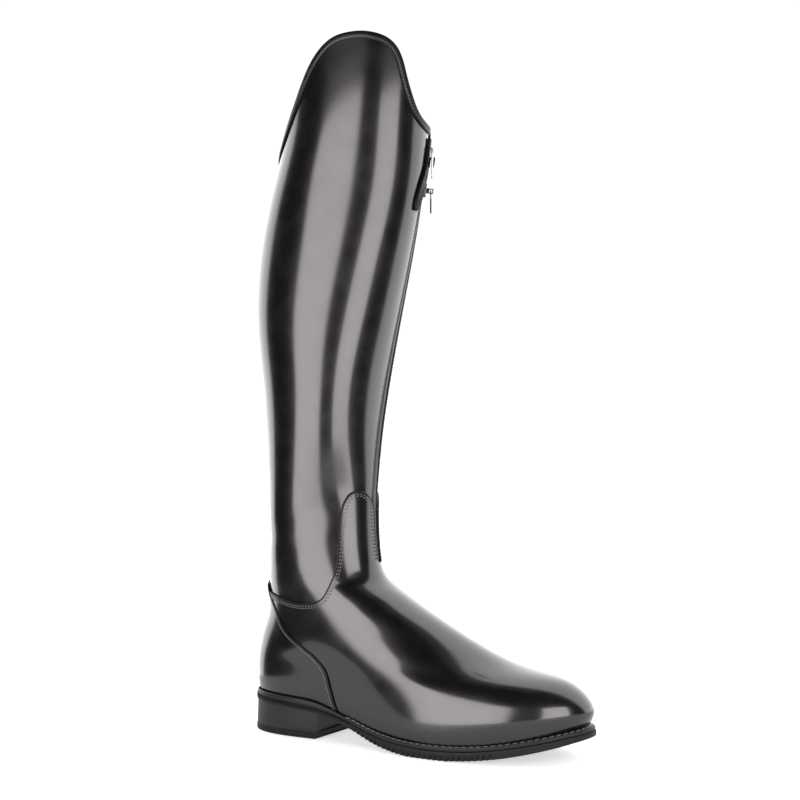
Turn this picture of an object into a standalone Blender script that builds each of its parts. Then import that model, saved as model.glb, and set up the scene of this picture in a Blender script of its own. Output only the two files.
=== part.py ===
"""Tall dress riding boot, right foot: sole, last-shaped upper, overlays, front zip and top closure.

Lengths are in millimetres here and scaled to metres when a solid is made.
X runs forward to the toe, Y to the medial side, Z up. Z = 0 is the ground under heel and forefoot.
"""
import bpy
import numpy as np

# Driving dimensions
MM = 0.001
WALL = 2.2
SKIN = 1.0
GAP = 0.3
OVERLAY_GAP = 0.52
EDGE_BEAD = 0.7
WELT_THICK = 2.9
WELT_FLANGE = 5.0
WELT_STEP = 0.7
HEEL_LIP = 3.2
INSOLE_THICK = 3.0
INSOLE_INSET = 3.3
TOP_LIFT = 5.0
BREAST_X = 33.0
BREAST_SLOPE = 1.8
BREAST_HOLLOW = 1.5
NOTCH_PITCH = 4.7
NOTCH_DEEP = 1.5
NOTCH_TALL = 3.4
NOTCH_FROM = 66.0
NOTCH_TO = 196.0
BIND_DROP = 4.5
BIND_THICK = 1.1
SLOT_HALF = 5.0
SLOT_ROW = 8.0
TAPE_HALF = 13.0
TAPE_THICK = 0.8
CHAIN_HALF = 3.0
CHAIN_TOP = -0.2

# Underside of the upper (feather) and bottom of the outsole in side view
SOLE_LINES = [
    # x, feather_z, bottom_z
    (-42, 30.0, 25.5),
    (-5, 29.0, 24.0),
    (28, 27.0, 21.0),
    (60, 21.5, 14.0),
    (90, 14.6, 5.2),
    (118, 11.2, 0.6),
    (150, 10.4, 0.0),
    (180, 12.4, 2.2),
    (210, 17.2, 7.6),
    (235, 23.0, 14.4),
    (252, 27.6, 20.2),
]

# Plan of the last at the feather: share of its length from the back, width factor of each side
PLAN = [
    # along, lateral, medial
    (0.00, 1.26, 1.26),
    (0.12, 0.945, 0.93),
    (0.22, 0.77, 0.715),
    (0.34, 0.76, 0.59),
    (0.44, 0.88, 0.62),
    (0.55, 1.03, 0.78),
    (0.66, 1.12, 0.96),
    (0.74, 1.15, 1.07),
    (0.81, 1.17, 1.13),
    (0.88, 1.18, 1.15),
    (0.94, 1.20, 1.12),
    (1.00, 1.22, 1.08),
]

# Sections of the last and leg, a closed ring to a row, from the feather up to above the collar
SECTIONS = [
    # name, back_x, back_z, front_x, front_z, lateral, medial, widest, full, follow, swing
    ("feather", -35.0, 30.2, 246.5, 26.4, 45.0, 45.0, 0, 0.00, 1.00, 6.0),
    ("rand", -37.5, 37.0, 250.0, 34.5, 46.0, 46.0, 0, 0.00, 0.92, 6.0),
    ("toe_top", -38.3, 48.0, 247.0, 44.5, 44.5, 44.0, 0, 0.01, 0.78, 5.5),
    ("toe_back", -38.5, 60.0, 228.0, 58.0, 42.0, 41.0, -2, 0.01, 0.55, 4.0),
    ("ball", -36.1, 71.0, 191.4, 66.2, 39.5, 38.0, -6, 0.01, 0.32, 2.5),
    ("waist", -33.1, 83.0, 154.2, 81.3, 37.5, 36.0, -6, 0.00, 0.14, 1.0),
    ("instep", -28.8, 96.0, 123.3, 97.4, 36.0, 35.0, -4, 0.00, 0.04, 0.0),
    ("crease", -28.2, 112.0, 84.5, 119.7, 36.0, 35.0, 0, 0.00, 0.00, 0.0),
    ("ankle_low", -27.0, 130.0, 68.0, 142.0, 37.0, 36.0, -4, 0.00, 0.00, 0.0),
    ("ankle", -24.3, 155.0, 65.5, 184.0, 38.0, 37.0, -7, 0.00, 0.00, 0.0),
    ("shin_low", -24.9, 190.0, 66.5, 210.0, 41.0, 40.0, -6, 0.00, 0.00, 0.0),
    ("shin", -27.1, 235.0, 69.1, 245.0, 47.0, 46.0, -1, 0.00, 0.00, 0.0),
    ("calf_low", -31.1, 285.0, 75.6, 290.0, 52.0, 51.0, 1, 0.00, 0.00, 0.0),
    ("calf", -36.2, 335.0, 85.5, 338.0, 54.0, 53.0, -2, 0.00, 0.00, 0.0),
    ("calf_high", -33.5, 390.0, 97.6, 392.0, 53.0, 52.0, -3, 0.00, 0.00, 0.0),
    ("under_knee", -21.4, 440.0, 107.2, 442.0, 51.0, 50.0, -6, 0.00, 0.00, 0.0),
    ("knee", -8.4, 490.0, 112.8, 492.0, 50.0, 49.0, -4, 0.00, 0.00, 0.0),
    ("top", -5.3, 540.0, 116.3, 542.0, 49.0, 48.0, -3, 0.00, 0.00, 0.0),
    ("crown", -4.0, 575.0, 118.0, 577.0, 48.5, 47.5, -3, 0.00, 0.00, 0.0),
]

# Collar's top line: degrees from the front towards the lateral side, section row
COLLAR = [
    (-60, 15.70), (-40, 15.84), (-24, 15.90), (-8, 15.94), (6.5, 16.03), (15.5, 16.19), (22, 16.40),
    (27, 16.62), (31, 16.84), (36, 17.05), (43, 17.22), (52, 17.33), (63, 17.39), (75, 17.38),
    (86, 17.30), (97, 17.09), (108, 16.78), (120, 16.38), (130, 16.10), (142, 15.80), (158, 15.58),
    (180, 15.46), (215, 15.42), (260, 15.50),
]

# Seam between heel counter and vamp, then the grid's guide above it: row, degrees from the front
SEAM_GUIDE = [
    (0.0, 112), (1.0, 113), (2.0, 113), (3.0, 112), (3.8, 112), (4.3, 115), (4.8, 121), (5.4, 128),
    (6.2, 134), (6.7, 140), (7.05, 148), (7.45, 154), (7.8, 154), (8.5, 142), (9.5, 128), (10.5, 116),
    (12, 110), (18, 110),
]

# Vamp's top line with its shin tab, lateral side: degrees from the front, section row
VAMP_TOP = [
    (-6, 8.80), (-2.6, 8.88), (0.5, 9.02), (5, 9.18), (9, 9.31),
    (17, 9.50), (26, 9.58), (34, 9.50), (39.5, 9.28), (43, 8.95), (44.6, 8.65), (46, 8.35),
    (49, 8.08), (54, 7.80), (62, 7.45), (77, 6.93), (84, 6.75), (91, 6.65), (105, 6.62), (115, 6.70),
    (128, 6.85), (148, 7.05),
]

# Middle of the zip: section row, degrees from the front
ZIP_LINE = [
    (7.0, -12.5), (7.9, -12), (8.75, -8.5), (9.5, -8), (10.4, -8.5), (11, -9.5), (12, -12),
    (13, -14.5), (14, -16.5), (15, -18.5), (16, -20.5), (18, -22),
]


# Splines over the tables
def natural_spline(xs, ys):
    """Natural cubic spline through points; ys may have columns."""
    xs = np.asarray(xs, float)
    ys = np.asarray(ys, float)
    n = len(xs)
    h = np.diff(xs)
    a = np.zeros((n, n))
    b = np.zeros((n,) + ys.shape[1:])
    a[0, 0] = 1.0
    a[-1, -1] = 1.0
    for i in range(1, n - 1):
        a[i, i - 1] = h[i - 1]
        a[i, i] = 2.0 * (h[i - 1] + h[i])
        a[i, i + 1] = h[i]
        b[i] = 6.0 * ((ys[i + 1] - ys[i]) / h[i] - (ys[i] - ys[i - 1]) / h[i - 1])
    m = np.linalg.solve(a, b)

    def value(x):
        x = np.asarray(x, float)
        i = np.clip(np.searchsorted(xs, x) - 1, 0, n - 2)
        d0 = x - xs[i]
        d1 = xs[i + 1] - x
        hi = h[i]
        if ys.ndim > 1:
            d0, d1, hi = d0[..., None], d1[..., None], hi[..., None]
        cubic = (m[i] * d1 ** 3 + m[i + 1] * d0 ** 3) / (6.0 * hi)
        low = (ys[i] / hi - m[i] * hi / 6.0) * d1
        high = (ys[i + 1] / hi - m[i + 1] * hi / 6.0) * d0
        return cubic + low + high

    return value


def table_line(rows):
    """Straight-line lookup over a two-column table."""
    xs = [r[0] for r in rows]
    ys = [r[1] for r in rows]
    return lambda x: np.interp(x, xs, ys)


sole_lines = natural_spline([r[0] for r in SOLE_LINES], [r[1:] for r in SOLE_LINES])
plan = natural_spline([r[0] for r in PLAN], [r[1:] for r in PLAN])
section = natural_spline(range(len(SECTIONS)), [r[1:] for r in SECTIONS])
zip_degrees = natural_spline([r[0] for r in ZIP_LINE], [r[1] for r in ZIP_LINE])
guide_degrees = table_line(SEAM_GUIDE)
vamp_lateral = table_line(VAMP_TOP)
COLLAR_LOOP = [(a - 360, r) for a, r in COLLAR] + COLLAR + [(a + 360, r) for a, r in COLLAR]
collar_spline = natural_spline([a for a, r in COLLAR_LOOP], [r for a, r in COLLAR_LOOP])
LAST_ROW = len(SECTIONS) - 1


# The form of last and leg
def feather_z(x):
    return sole_lines(np.clip(x, -42, 252))[..., 0]


def bottom_z(x):
    z = sole_lines(np.clip(x, -42, 252))[..., 1]
    return np.where((x > 100) & (x < 170), np.where(z < 0.35, 0.0, z), z)


def boot(v, phi):
    """Outer skin of the upper at section row v and angle phi (0 front, quarter turn lateral)."""
    v, phi = np.broadcast_arrays(np.asarray(v, float), np.asarray(phi, float))
    row = np.moveaxis(section(v), -1, 0)
    back_x, back_z, front_x, front_z, lateral, medial, widest, full, follow, swing = row
    c, s = np.cos(phi), np.sin(phi)
    ce = (c - full * np.cos(3 * phi)) / (1 - full)
    se = (s + full * np.sin(3 * phi)) / (1 - full)
    x = (front_x + back_x) / 2 + (front_x - back_x) / 2 * ce + widest * s * s
    u = np.clip((x - back_x) / (front_x - back_x), 0, 1)
    chord = feather_z(back_x) + (feather_z(front_x) - feather_z(back_x)) * u
    z = back_z + (front_z - back_z) * u + follow * (feather_z(x) - chord)
    factor = plan(u)
    lat = lateral * (1 + follow * (factor[..., 0] - 1))
    med = medial * (1 + follow * (factor[..., 1] - 1))
    y = -se * (lat * (1 + s) / 2 + med * (1 - s) / 2) + swing * u ** 3
    return np.stack([x, y, z], -1)


def skin_normal(v, phi):
    """Outward unit normals of the skin."""
    v, phi = np.broadcast_arrays(np.asarray(v, float), np.asarray(phi, float))
    e = 1e-3
    along = boot(np.minimum(v + e, LAST_ROW), phi) - boot(np.maximum(v - e, 0), phi)
    across = boot(v, phi + e) - boot(v, phi - e)
    n = np.cross(along, across)
    return n / np.linalg.norm(n, axis=-1, keepdims=True)


def skin(v, phi, lift):
    """Skin moved along its normal by lift."""
    lift = np.asarray(lift, float)
    if lift.ndim:
        lift = lift[..., None]
    return boot(v, phi) + skin_normal(v, phi) * lift


def collar_row(degrees):
    return collar_spline((np.asarray(degrees) + 60) % 360 - 60)


def radius_at(v, phi):
    """Length of skin per radian of phi."""
    e = 1e-3
    return np.linalg.norm(boot(v, phi + e) - boot(v, phi - e), axis=-1) / (2 * e)


def zip_frame(v):
    """Point, outward, up and side directions on the zip's middle at row v."""
    phi = np.radians(zip_degrees(v))
    p = boot(v, phi)
    n = skin_normal(v, phi)
    up = boot(v + 1e-3, np.radians(zip_degrees(v + 1e-3))) - p
    up = up - n * np.dot(up, n)
    up = up / np.linalg.norm(up)
    return p, n, up, np.cross(up, n)


# Making solids
def material(name, colour, roughness, metallic=0.0):
    m = bpy.data.materials.new(name)
    m.use_nodes = True
    shader = m.node_tree.nodes["Principled BSDF"]
    shader.inputs["Base Color"].default_value = (*colour, 1.0)
    shader.inputs["Roughness"].default_value = roughness
    shader.inputs["Metallic"].default_value = metallic
    return m


def add_solid(name, points, faces, mat, origin=(0.0, 0.0, 0.0)):
    """One closed body; faces are turned outward by its volume."""
    points = np.asarray(points, float).reshape(-1, 3)
    used = sorted({i for f in faces for i in f})
    new = {old: k for k, old in enumerate(used)}
    faces = [[new[i] for i in f] for f in faces]
    points = points[used]
    volume = 0.0
    for f in faces:
        for k in range(1, len(f) - 1):
            volume += np.dot(points[f[0]], np.cross(points[f[k]], points[f[k + 1]]))
    if volume < 0:
        faces = [f[::-1] for f in faces]
    origin = np.asarray(origin, float)
    mesh = bpy.data.meshes.new(name)
    mesh.from_pydata([tuple((p - origin) * MM) for p in points], [], faces)
    mesh.update()
    obj = bpy.data.objects.new(name, mesh)
    obj.location = tuple(origin * MM)
    bpy.context.scene.collection.objects.link(obj)
    mesh.materials.append(mat)
    return obj


def sheet_solid(outer, inner, closed=False, active=None):
    """Faces of a sheet between two grids of points; cells left out of active become openings."""
    rows, cols = outer.shape[:2]
    cells = cols if closed else cols - 1
    if active is None:
        active = np.ones((rows - 1, cells), bool)
    base = rows * cols
    faces = []

    def on(i, j):
        if closed:
            j = j % cells
        inside = 0 <= i < rows - 1 and 0 <= j < cells
        return bool(inside and active[i, j])

    for i in range(rows - 1):
        for j in range(cells):
            if not active[i, j]:
                continue
            k = (j + 1) % cols
            a, b, c, d = i * cols + j, i * cols + k, (i + 1) * cols + k, (i + 1) * cols + j
            faces += [[a, b, c], [a, c, d]]
            faces += [[base + c, base + b, base + a], [base + d, base + c, base + a]]
            if not on(i - 1, j):
                faces.append([base + a, base + b, b, a])
            if not on(i + 1, j):
                faces.append([base + c, base + d, d, c])
            if not on(i, j - 1):
                faces.append([base + d, base + a, a, d])
            if not on(i, j + 1):
                faces.append([base + b, base + c, c, b])
    points = np.concatenate([outer.reshape(-1, 3), inner.reshape(-1, 3)])
    return points, faces


def tube_solid(loops, closed):
    """Faces of a body swept through loops of points; open sweeps get flat ends."""
    count, size = loops.shape[:2]
    faces = []
    for i in range(count if closed else count - 1):
        a, b = i * size, ((i + 1) % count) * size
        for j in range(size):
            k = (j + 1) % size
            faces.append([a + j, a + k, b + k, b + j])
    if not closed:
        faces.append([j for j in range(size)][::-1])
        faces.append([(count - 1) * size + j for j in range(size)])
    return loops.reshape(-1, 3), faces


def plate_solid(loops):
    """Stacked loops whose point i pairs with point -i; both ends closed by strips across."""
    count, size = loops.shape[:2]
    faces = []
    for i in range(count - 1):
        for j in range(size):
            k = (j + 1) % size
            faces.append([i * size + j, i * size + k, (i + 1) * size + k, (i + 1) * size + j])
    for base, turn in ((0, 1), ((count - 1) * size, -1)):
        for j in range(size // 2):
            quad = [base + j, base + (size - j) % size, base + size - j - 1, base + j + 1]
            quad = list(dict.fromkeys(quad))
            if len(quad) > 2:
                faces.append(quad[::turn])
    return loops.reshape(-1, 3), faces


# Sole outline
def feather_outline(phi, offset):
    """Plan of the feather ring moved outward by offset, with the ring's own x kept beside it."""
    p = boot(0.0, phi)
    e = 1e-3
    t = boot(0.0, phi + e) - boot(0.0, phi - e)
    n = np.stack([t[..., 1], -t[..., 0]], -1)
    n = n / np.linalg.norm(n, axis=-1, keepdims=True)
    out = np.sign(np.sum(n * (p[..., :2] - np.array([100.0, 0.0])), axis=-1).sum())
    return p[..., :2] + n * out * np.asarray(offset)[..., None], p[..., 0]


def sole_margin(x):
    """Width of sole standing out past the upper."""
    forefoot = 1.3 * np.clip((x - 60) / 60, 0, 1)
    toe = 0.9 * np.clip((x - 200) / 46, 0, 1)
    heel = 1.3 * (1 - np.clip((x - 10) / 50, 0, 1))
    return 4.3 + forefoot + toe + heel - 0.8 * np.exp(-((x - 62) / 26.0) ** 2)


def sole_loop(phi, inset, height):
    """Closed loop of the sole's edge at phi, inset from the full edge, at height(x of the feather)."""
    x_ring = boot(0.0, phi)[..., 0]
    xy, _ = feather_outline(phi, sole_margin(x_ring) - inset)
    return np.concatenate([xy, height(x_ring)[:, None]], axis=1)


def notched_angles():
    """Angles round the sole, spaced so that every second one is the middle of an edge notch."""
    fine = np.linspace(0, np.pi, 2001)
    x_ring = boot(0.0, fine)[..., 0]
    xy, _ = feather_outline(fine, sole_margin(x_ring))
    run = np.concatenate([[0], np.cumsum(np.linalg.norm(np.diff(xy, axis=0), axis=1))])
    start = np.interp(-NOTCH_TO, -xy[:, 0], run)
    end = np.interp(-NOTCH_FROM, -xy[:, 0], run)
    steps = 2 * int(round((end - start) / NOTCH_PITCH))
    marks = np.concatenate([
        np.linspace(0, start, 12)[:-1],
        np.linspace(start, end, steps + 1),
        np.linspace(end, run[-1], 17)[1:],
    ])
    kind = np.zeros(len(marks))
    kind[12:11 + steps:2] = 1
    return np.interp(marks, run, fine), kind


def make_outsole(mat):
    half, kind = notched_angles()
    phi = np.concatenate([half, 2 * np.pi - half[-2:0:-1]])
    notch = np.concatenate([kind, kind[-2:0:-1]])
    loops = [
        sole_loop(phi, 0.0, lambda x: feather_z(x) - WELT_THICK - 0.35 - GAP),
        sole_loop(phi, 0.0, lambda x: bottom_z(x) + NOTCH_TALL),
        sole_loop(phi, 0.25 + notch * NOTCH_DEEP, lambda x: bottom_z(x)),
    ]
    points, faces = plate_solid(np.array(loops))
    return add_solid("outsole", points, faces, mat)


def make_welt(mat):
    """Welt strip round the whole sole; over the heel its edge rises into a rim."""
    phi = np.linspace(0, 2 * np.pi, 73)[:-1]
    x_ring = boot(0.0, phi)[..., 0]
    fade = np.clip((x_ring - 22) / 40, 0, 1)
    lip = HEEL_LIP * (1 - fade ** 2 * (3 - 2 * fade))
    edge = sole_margin(x_ring) - WELT_STEP
    # offset from the feather, height over it
    profile = [
        (-WELT_FLANGE + 0 * lip, -0.35 - WELT_THICK + 0 * lip),
        (edge, -0.35 - WELT_THICK + 0 * lip),
        (edge + 0.25 * lip / HEEL_LIP, -0.9 + 0.6 * lip),
        (edge - 0.5, -0.35 + lip),
        (3.7 + 0 * lip - 1.4 * (1 - lip / HEEL_LIP), -0.35 + lip),
        (3.3 + 0 * lip - 1.4 * (1 - lip / HEEL_LIP), -0.35 + 0.25 * lip),
        (-WELT_FLANGE + 0 * lip, -0.35 + 0 * lip),
    ]
    loops = []
    for offset, rise in profile:
        xy, _ = feather_outline(phi, offset)
        loops.append(np.concatenate([xy, (feather_z(x_ring) + rise)[:, None]], axis=1))
    loops = np.moveaxis(np.array(loops), 0, 1)
    points, faces = tube_solid(loops, closed=True)
    return add_solid("welt", points, faces, mat)


def heel_loop(inset, height, breast_x, turn=0.03):
    """Loop of the heel: the sole's outline behind the breast line, and the breast across."""
    fine = np.linspace(0.4 * np.pi, np.pi, 1501)
    xy, _ = feather_outline(fine, sole_margin(boot(0.0, fine)[..., 0]) - inset)
    lateral = np.interp(-(breast_x - 1.2), -xy[:, 0], fine)
    fine_m = 2 * np.pi - fine
    xy, _ = feather_outline(fine_m, sole_margin(boot(0.0, fine_m)[..., 0]) - inset)
    medial = np.interp(-(breast_x + 1.2), -xy[:, 0], fine_m)
    phi = np.linspace(lateral, medial, 21)
    xy, _ = feather_outline(phi, sole_margin(boot(0.0, phi)[..., 0]) - inset)
    share = np.linspace(0, 1, 5)[1:-1]
    hollow = BREAST_HOLLOW * 4 * share * (1 - share)
    across = xy[-1] + (xy[0] - xy[-1]) * share[:, None] - np.stack([hollow, 0 * hollow], -1)
    x_ring = boot(0.0, phi)[..., 0]
    x_across = x_ring[-1] + (x_ring[0] - x_ring[-1]) * share - hollow
    z = height(np.concatenate([x_ring, x_across]))
    # the middle of the breast comes first, so that the sides pair up
    return np.roll(np.column_stack([np.concatenate([xy, across]), z]), 2, axis=0)


def make_heel(mat, lift_mat):
    top = BREAST_X + BREAST_SLOPE
    loops = [
        heel_loop(0.9, lambda x: bottom_z(x) - 0.15, top),
        heel_loop(0.9, lambda x: bottom_z(x) - 1.6, top - 0.1),
        heel_loop(0.3, lambda x: 0 * x + TOP_LIFT + 0.1, BREAST_X + 0.4),
    ]
    points, faces = plate_solid(np.array(loops))
    add_solid("heel_block", points, faces, mat)
    loops = [
        heel_loop(0.1, lambda x: 0 * x + TOP_LIFT, BREAST_X + 0.4),
        heel_loop(0.0, lambda x: 0 * x + 1.0, BREAST_X),
        heel_loop(0.8, lambda x: 0 * x, BREAST_X - 0.6),
    ]
    points, faces = plate_solid(np.array(loops))
    add_solid("heel_top_lift", points, faces, lift_mat)


def make_insole(mat):
    phi = np.linspace(0, 2 * np.pi, 73)[:-1]
    x_ring = boot(0.0, phi)[..., 0]
    loops = []
    # inset from the feather, height over it
    profile = [
        (INSOLE_INSET, 0.3),
        (INSOLE_INSET, INSOLE_THICK - 0.7),
        (INSOLE_INSET + 0.7, INSOLE_THICK),
    ]
    for inset, rise in profile:
        xy, _ = feather_outline(phi, -inset + 0 * phi)
        loops.append(np.concatenate([xy, (feather_z(x_ring) + rise)[:, None]], axis=1))
    points, faces = plate_solid(np.array(loops))
    return add_solid("insole", points, faces, mat)


# Upper and its overlays
SIDE_CELLS = 12
BACK_CELLS = 12
COLUMNS = 2 * SIDE_CELLS + BACK_CELLS
LOW_ROWS = np.array([0, 0.35, 0.75, 1.25, 1.75, 2.3, 2.9, 3.5, 4.1, 4.7, 5.3, 5.9, 6.5, 7.0, 7.5,
                     8.0, 8.6, 9.3, 10.1, 11.0, 12.0, 13.0])
HIGH_STEPS = 6


def column_degrees(v, column):
    """Angle of a grid column: from one edge of the zip slot round the leg to the other."""
    at = np.maximum(v, SLOT_ROW)
    mid = zip_degrees(at)
    half = np.degrees(SLOT_HALF / radius_at(at, np.radians(mid)))
    guide = guide_degrees(v)
    first = mid + half
    last = 360 + mid - half
    side = first + (guide - first) * column / SIDE_CELLS
    back = guide + (360 - 2 * guide) * (column - SIDE_CELLS) / BACK_CELLS
    other = 360 - guide + (last - 360 + guide) * (column - SIDE_CELLS - BACK_CELLS) / SIDE_CELLS
    return np.where(column < SIDE_CELLS, side, np.where(column <= SIDE_CELLS + BACK_CELLS, back, other))


def upper_grid():
    """Rows and angles of the upper; its first and last columns are the edges of the zip slot."""
    column = np.arange(COLUMNS + 1.0)
    rows = [v + 0 * column for v in LOW_ROWS]
    for t in np.linspace(0, 1, HIGH_STEPS + 1)[1:]:
        v = 13.0 + 3.0 * t + 0 * column
        for _ in range(12):
            v = 13.0 + (collar_row(column_degrees(v, column)) - 0.035 - 13.0) * t
        rows.append(v)
    v = np.array(rows)
    return v, np.radians(column_degrees(v, column))


def on_upper(v, column, lift):
    """Point over the faceted upper, so that an overlay runs parallel to its facets."""
    v, column = np.broadcast_arrays(np.asarray(v, float), np.asarray(column, float))
    i = np.clip(np.searchsorted(LOW_ROWS, v, side="right") - 1, 0, len(LOW_ROWS) - 2)
    f = ((v - LOW_ROWS[i]) / (LOW_ROWS[i + 1] - LOW_ROWS[i]))[..., None]
    j = np.floor(column).astype(int)
    g = (column - j)[..., None]
    k = (j + 1) % (COLUMNS + 1)
    total = 0.0
    for row, share in ((i, 1 - f), (i + 1, f)):
        for col, part in ((j, 1 - g), (k, g)):
            rv = LOW_ROWS[row]
            phi = np.radians(column_degrees(rv, col.astype(float)))
            total = total + (boot(rv, phi) + skin_normal(rv, phi) * lift) * share * part
    return total


def make_upper(mat):
    v, phi = upper_grid()
    active = np.ones((v.shape[0] - 1, v.shape[1]), bool)
    active[:, -1] = v[1:, 0] <= SLOT_ROW + 1e-6
    points, faces = sheet_solid(skin(v, phi, 0.0), skin(v, phi, -WALL), closed=True, active=active)
    return add_solid("upper", points, faces, mat)


def vamp_top(column):
    """Row of the vamp's top line over a lateral grid column."""
    v = 7.0 + 0 * column
    for _ in range(60):
        v = 0.6 * v + 0.4 * vamp_lateral(column_degrees(v, column))
    return v


def make_vamp(mat):
    """Vamp skin over the foot, with a tab up the shin at each side of the zip."""
    lateral = np.array([0, 0.5, 1, 1.5, 2, 2.5, 3, 3.3, 3.6, 3.8, 4, 4.4, 5, 6, 7, 8, 9, 10, 11,
                        SIDE_CELLS - 0.05])
    top = vamp_top(lateral)
    column = np.concatenate([COLUMNS - lateral[::-1], lateral])
    top = np.concatenate([top[::-1], top])
    low = LOW_ROWS[(LOW_ROWS > 0.3) & (LOW_ROWS < 6.6)]
    slot_share = (7.92 - low[-1]) / (top[len(lateral)] - low[-1])
    shares = [0.35 * slot_share, 0.7 * slot_share, slot_share, 0.5 + 0.5 * slot_share, 1.0]
    v = np.array([low_v + 0 * column for low_v in low] + [low[-1] + (top - low[-1]) * t for t in shares])
    active = np.ones((v.shape[0] - 1, v.shape[1] - 1), bool)
    active[len(low) + 2:, len(lateral) - 1] = False
    points, faces = sheet_solid(on_upper(v, column, OVERLAY_GAP + SKIN), on_upper(v, column, OVERLAY_GAP),
                                active=active)
    return add_solid("vamp", points, faces, mat)


def make_counter(mat):
    """Heel counter over the back of the foot, with a raised bead along its seam."""
    half = np.array([0.06, 0.2, 0.42, 1, 2, 3, 4, 5])
    column = SIDE_CELLS + np.concatenate([half, [6], BACK_CELLS - half[::-1]])
    bead = np.where(np.abs(column - SIDE_CELLS - 6) > 5.7, EDGE_BEAD, 0.0)
    low = LOW_ROWS[(LOW_ROWS > 0.3) & (LOW_ROWS < 7.1)]
    top = 7.42 + 0.2 * np.sin(np.pi * (column - SIDE_CELLS) / BACK_CELLS)
    v = np.array([low_v + 0 * column for low_v in low] + [top])
    lift = (OVERLAY_GAP + SKIN + bead + 0 * v)[..., None]
    points, faces = sheet_solid(on_upper(v, column, lift), on_upper(v, column, OVERLAY_GAP))
    return add_solid("heel_counter", points, faces, mat)


def make_binding(mat):
    """Folded strip over the collar's edge, from one side of the zip to the other."""
    v, phi = upper_grid()
    v, phi = v[-1], phi[-1]
    edge = skin(v, phi, 0.0)
    n = skin_normal(v, phi)
    t = np.gradient(edge, axis=0)
    t = t / np.linalg.norm(t, axis=1, keepdims=True)
    up = np.cross(t, n)
    up = up * np.sign(up[:, 2:3])
    near = GAP + 0.15
    inner = -WALL - near
    profile = [
        (near + BIND_THICK, -BIND_DROP), (near + BIND_THICK, 0.6), (near, 1.6), (inner, 1.6),
        (inner - BIND_THICK, 0.6), (inner - BIND_THICK, -3.5), (inner, -3.5), (inner, 0.4),
        (near, 0.4), (near, -BIND_DROP),
    ]
    loops = np.array([[edge[k] + n[k] * a + up[k] * b for a, b in profile] for k in range(len(edge))])
    points, faces = tube_solid(loops, closed=False)
    return add_solid("collar_binding", points, faces, mat)


# Front zip
def zip_strip(name, half, outer, inner, start, stop, across, mat):
    """Strip along the zip, on the upper's own rows so that its facets run parallel."""
    low = LOW_ROWS[(LOW_ROWS > start + 0.1) & (LOW_ROWS < 13)]
    v = np.concatenate([[start], low, np.linspace(13, stop, HIGH_STEPS + 1)])[:, None] + 0 * across
    mid = np.radians(zip_degrees(v))
    phi = mid + half * across / radius_at(v, mid)
    points, faces = sheet_solid(skin(v, phi, outer), skin(v, phi, inner))
    return add_solid(name, points, faces, mat)


def make_zip(tape_mat, teeth_mat):
    across = np.array([-1.0, -0.5, 0.0, 0.5, 1.0])
    tape = -WALL - GAP - 0.15
    zip_strip("zip_tape", TAPE_HALF, tape, tape - TAPE_THICK, 7.7, 15.72, across, tape_mat)
    zip_strip("zip_chain", CHAIN_HALF, CHAIN_TOP, tape + GAP, 8.08, 15.7, across[::2], teeth_mat)


def local(frame, points):
    """Points given as side, up, out in a local frame."""
    p, n, up, side = frame
    points = np.asarray(points, float)
    return p + points[..., 0:1] * side + points[..., 1:2] * up + points[..., 2:3] * n


def grid_plate(frame, xs, ys, back, front, holes=(), bend=None):
    """Plate in a local frame with rectangular cells, some left open."""
    gx, gy = np.meshgrid(xs, ys)
    lift = 0 * gx if bend is None else bend(gx, gy)
    outer = local(frame, np.stack([gx, gy, lift + front], -1))
    inner = local(frame, np.stack([gx, gy, lift + back], -1))
    active = np.ones((len(ys) - 1, len(xs) - 1), bool)
    for i, j in holes:
        active[i, j] = False
    return sheet_solid(outer, inner, active=active)


SLIDER_ROW = 14.93
PIVOT_OUT = 6.4
TAB_LONG = 18.0


def make_slider(mat, tab_mat):
    frame = zip_frame(SLIDER_ROW)
    outline = np.array([
        (-4.4, -4.6), (-3.2, -6.2), (3.2, -6.2), (4.4, -4.6),
        (4.4, 3.6), (2.6, 6.2), (-2.6, 6.2), (-4.4, 3.6),
    ])
    loops = []
    for out, scale in ((0.1, 1.0), (2.3, 1.0), (3.1, 0.86)):
        flat = outline * scale
        loops.append(local(frame, np.concatenate([flat, np.full((len(flat), 1), out)], axis=1)))
    points, faces = tube_solid(np.array(loops), closed=False)
    body = add_solid("zip_slider", points, faces, mat)
    # upright lug with an eye for the pull tab
    p, n, up, side = frame
    lug_frame = (p, side, n, up)
    xs = [-2.2, -1.15, 1.15, 2.2]
    ys = [2.6, PIVOT_OUT - 1.15, PIVOT_OUT + 1.15, PIVOT_OUT + 2.2]
    points, faces = grid_plate(lug_frame, xs, ys, -0.75, 0.75, holes=[(1, 1)])
    lug = add_solid("slider_lug", points, faces, mat)
    lug.hide_render = True
    lug.display_type = "WIRE"
    join = body.modifiers.new("lug", "BOOLEAN")
    join.operation = "UNION"
    join.solver = "EXACT"
    join.object = lug
    # pull tab hanging straight down from the eye
    pivot = p + n * PIVOT_OUT
    out = n - np.array([0, 0, n[2]])
    out = out / np.linalg.norm(out)
    down_frame = (pivot, out, np.array([0.0, 0.0, 1.0]), np.cross([0.0, 0.0, 1.0], out))
    xs = [-2.2, -1.2, 1.2, 2.2]
    ys = [-TAB_LONG, -3.4, -0.5, 0.5]
    points, faces = grid_plate(down_frame, xs, ys, -0.5, 0.5, holes=[(1, 1)])
    add_solid("zip_pull_tab", points, faces, tab_mat, origin=pivot)


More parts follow.
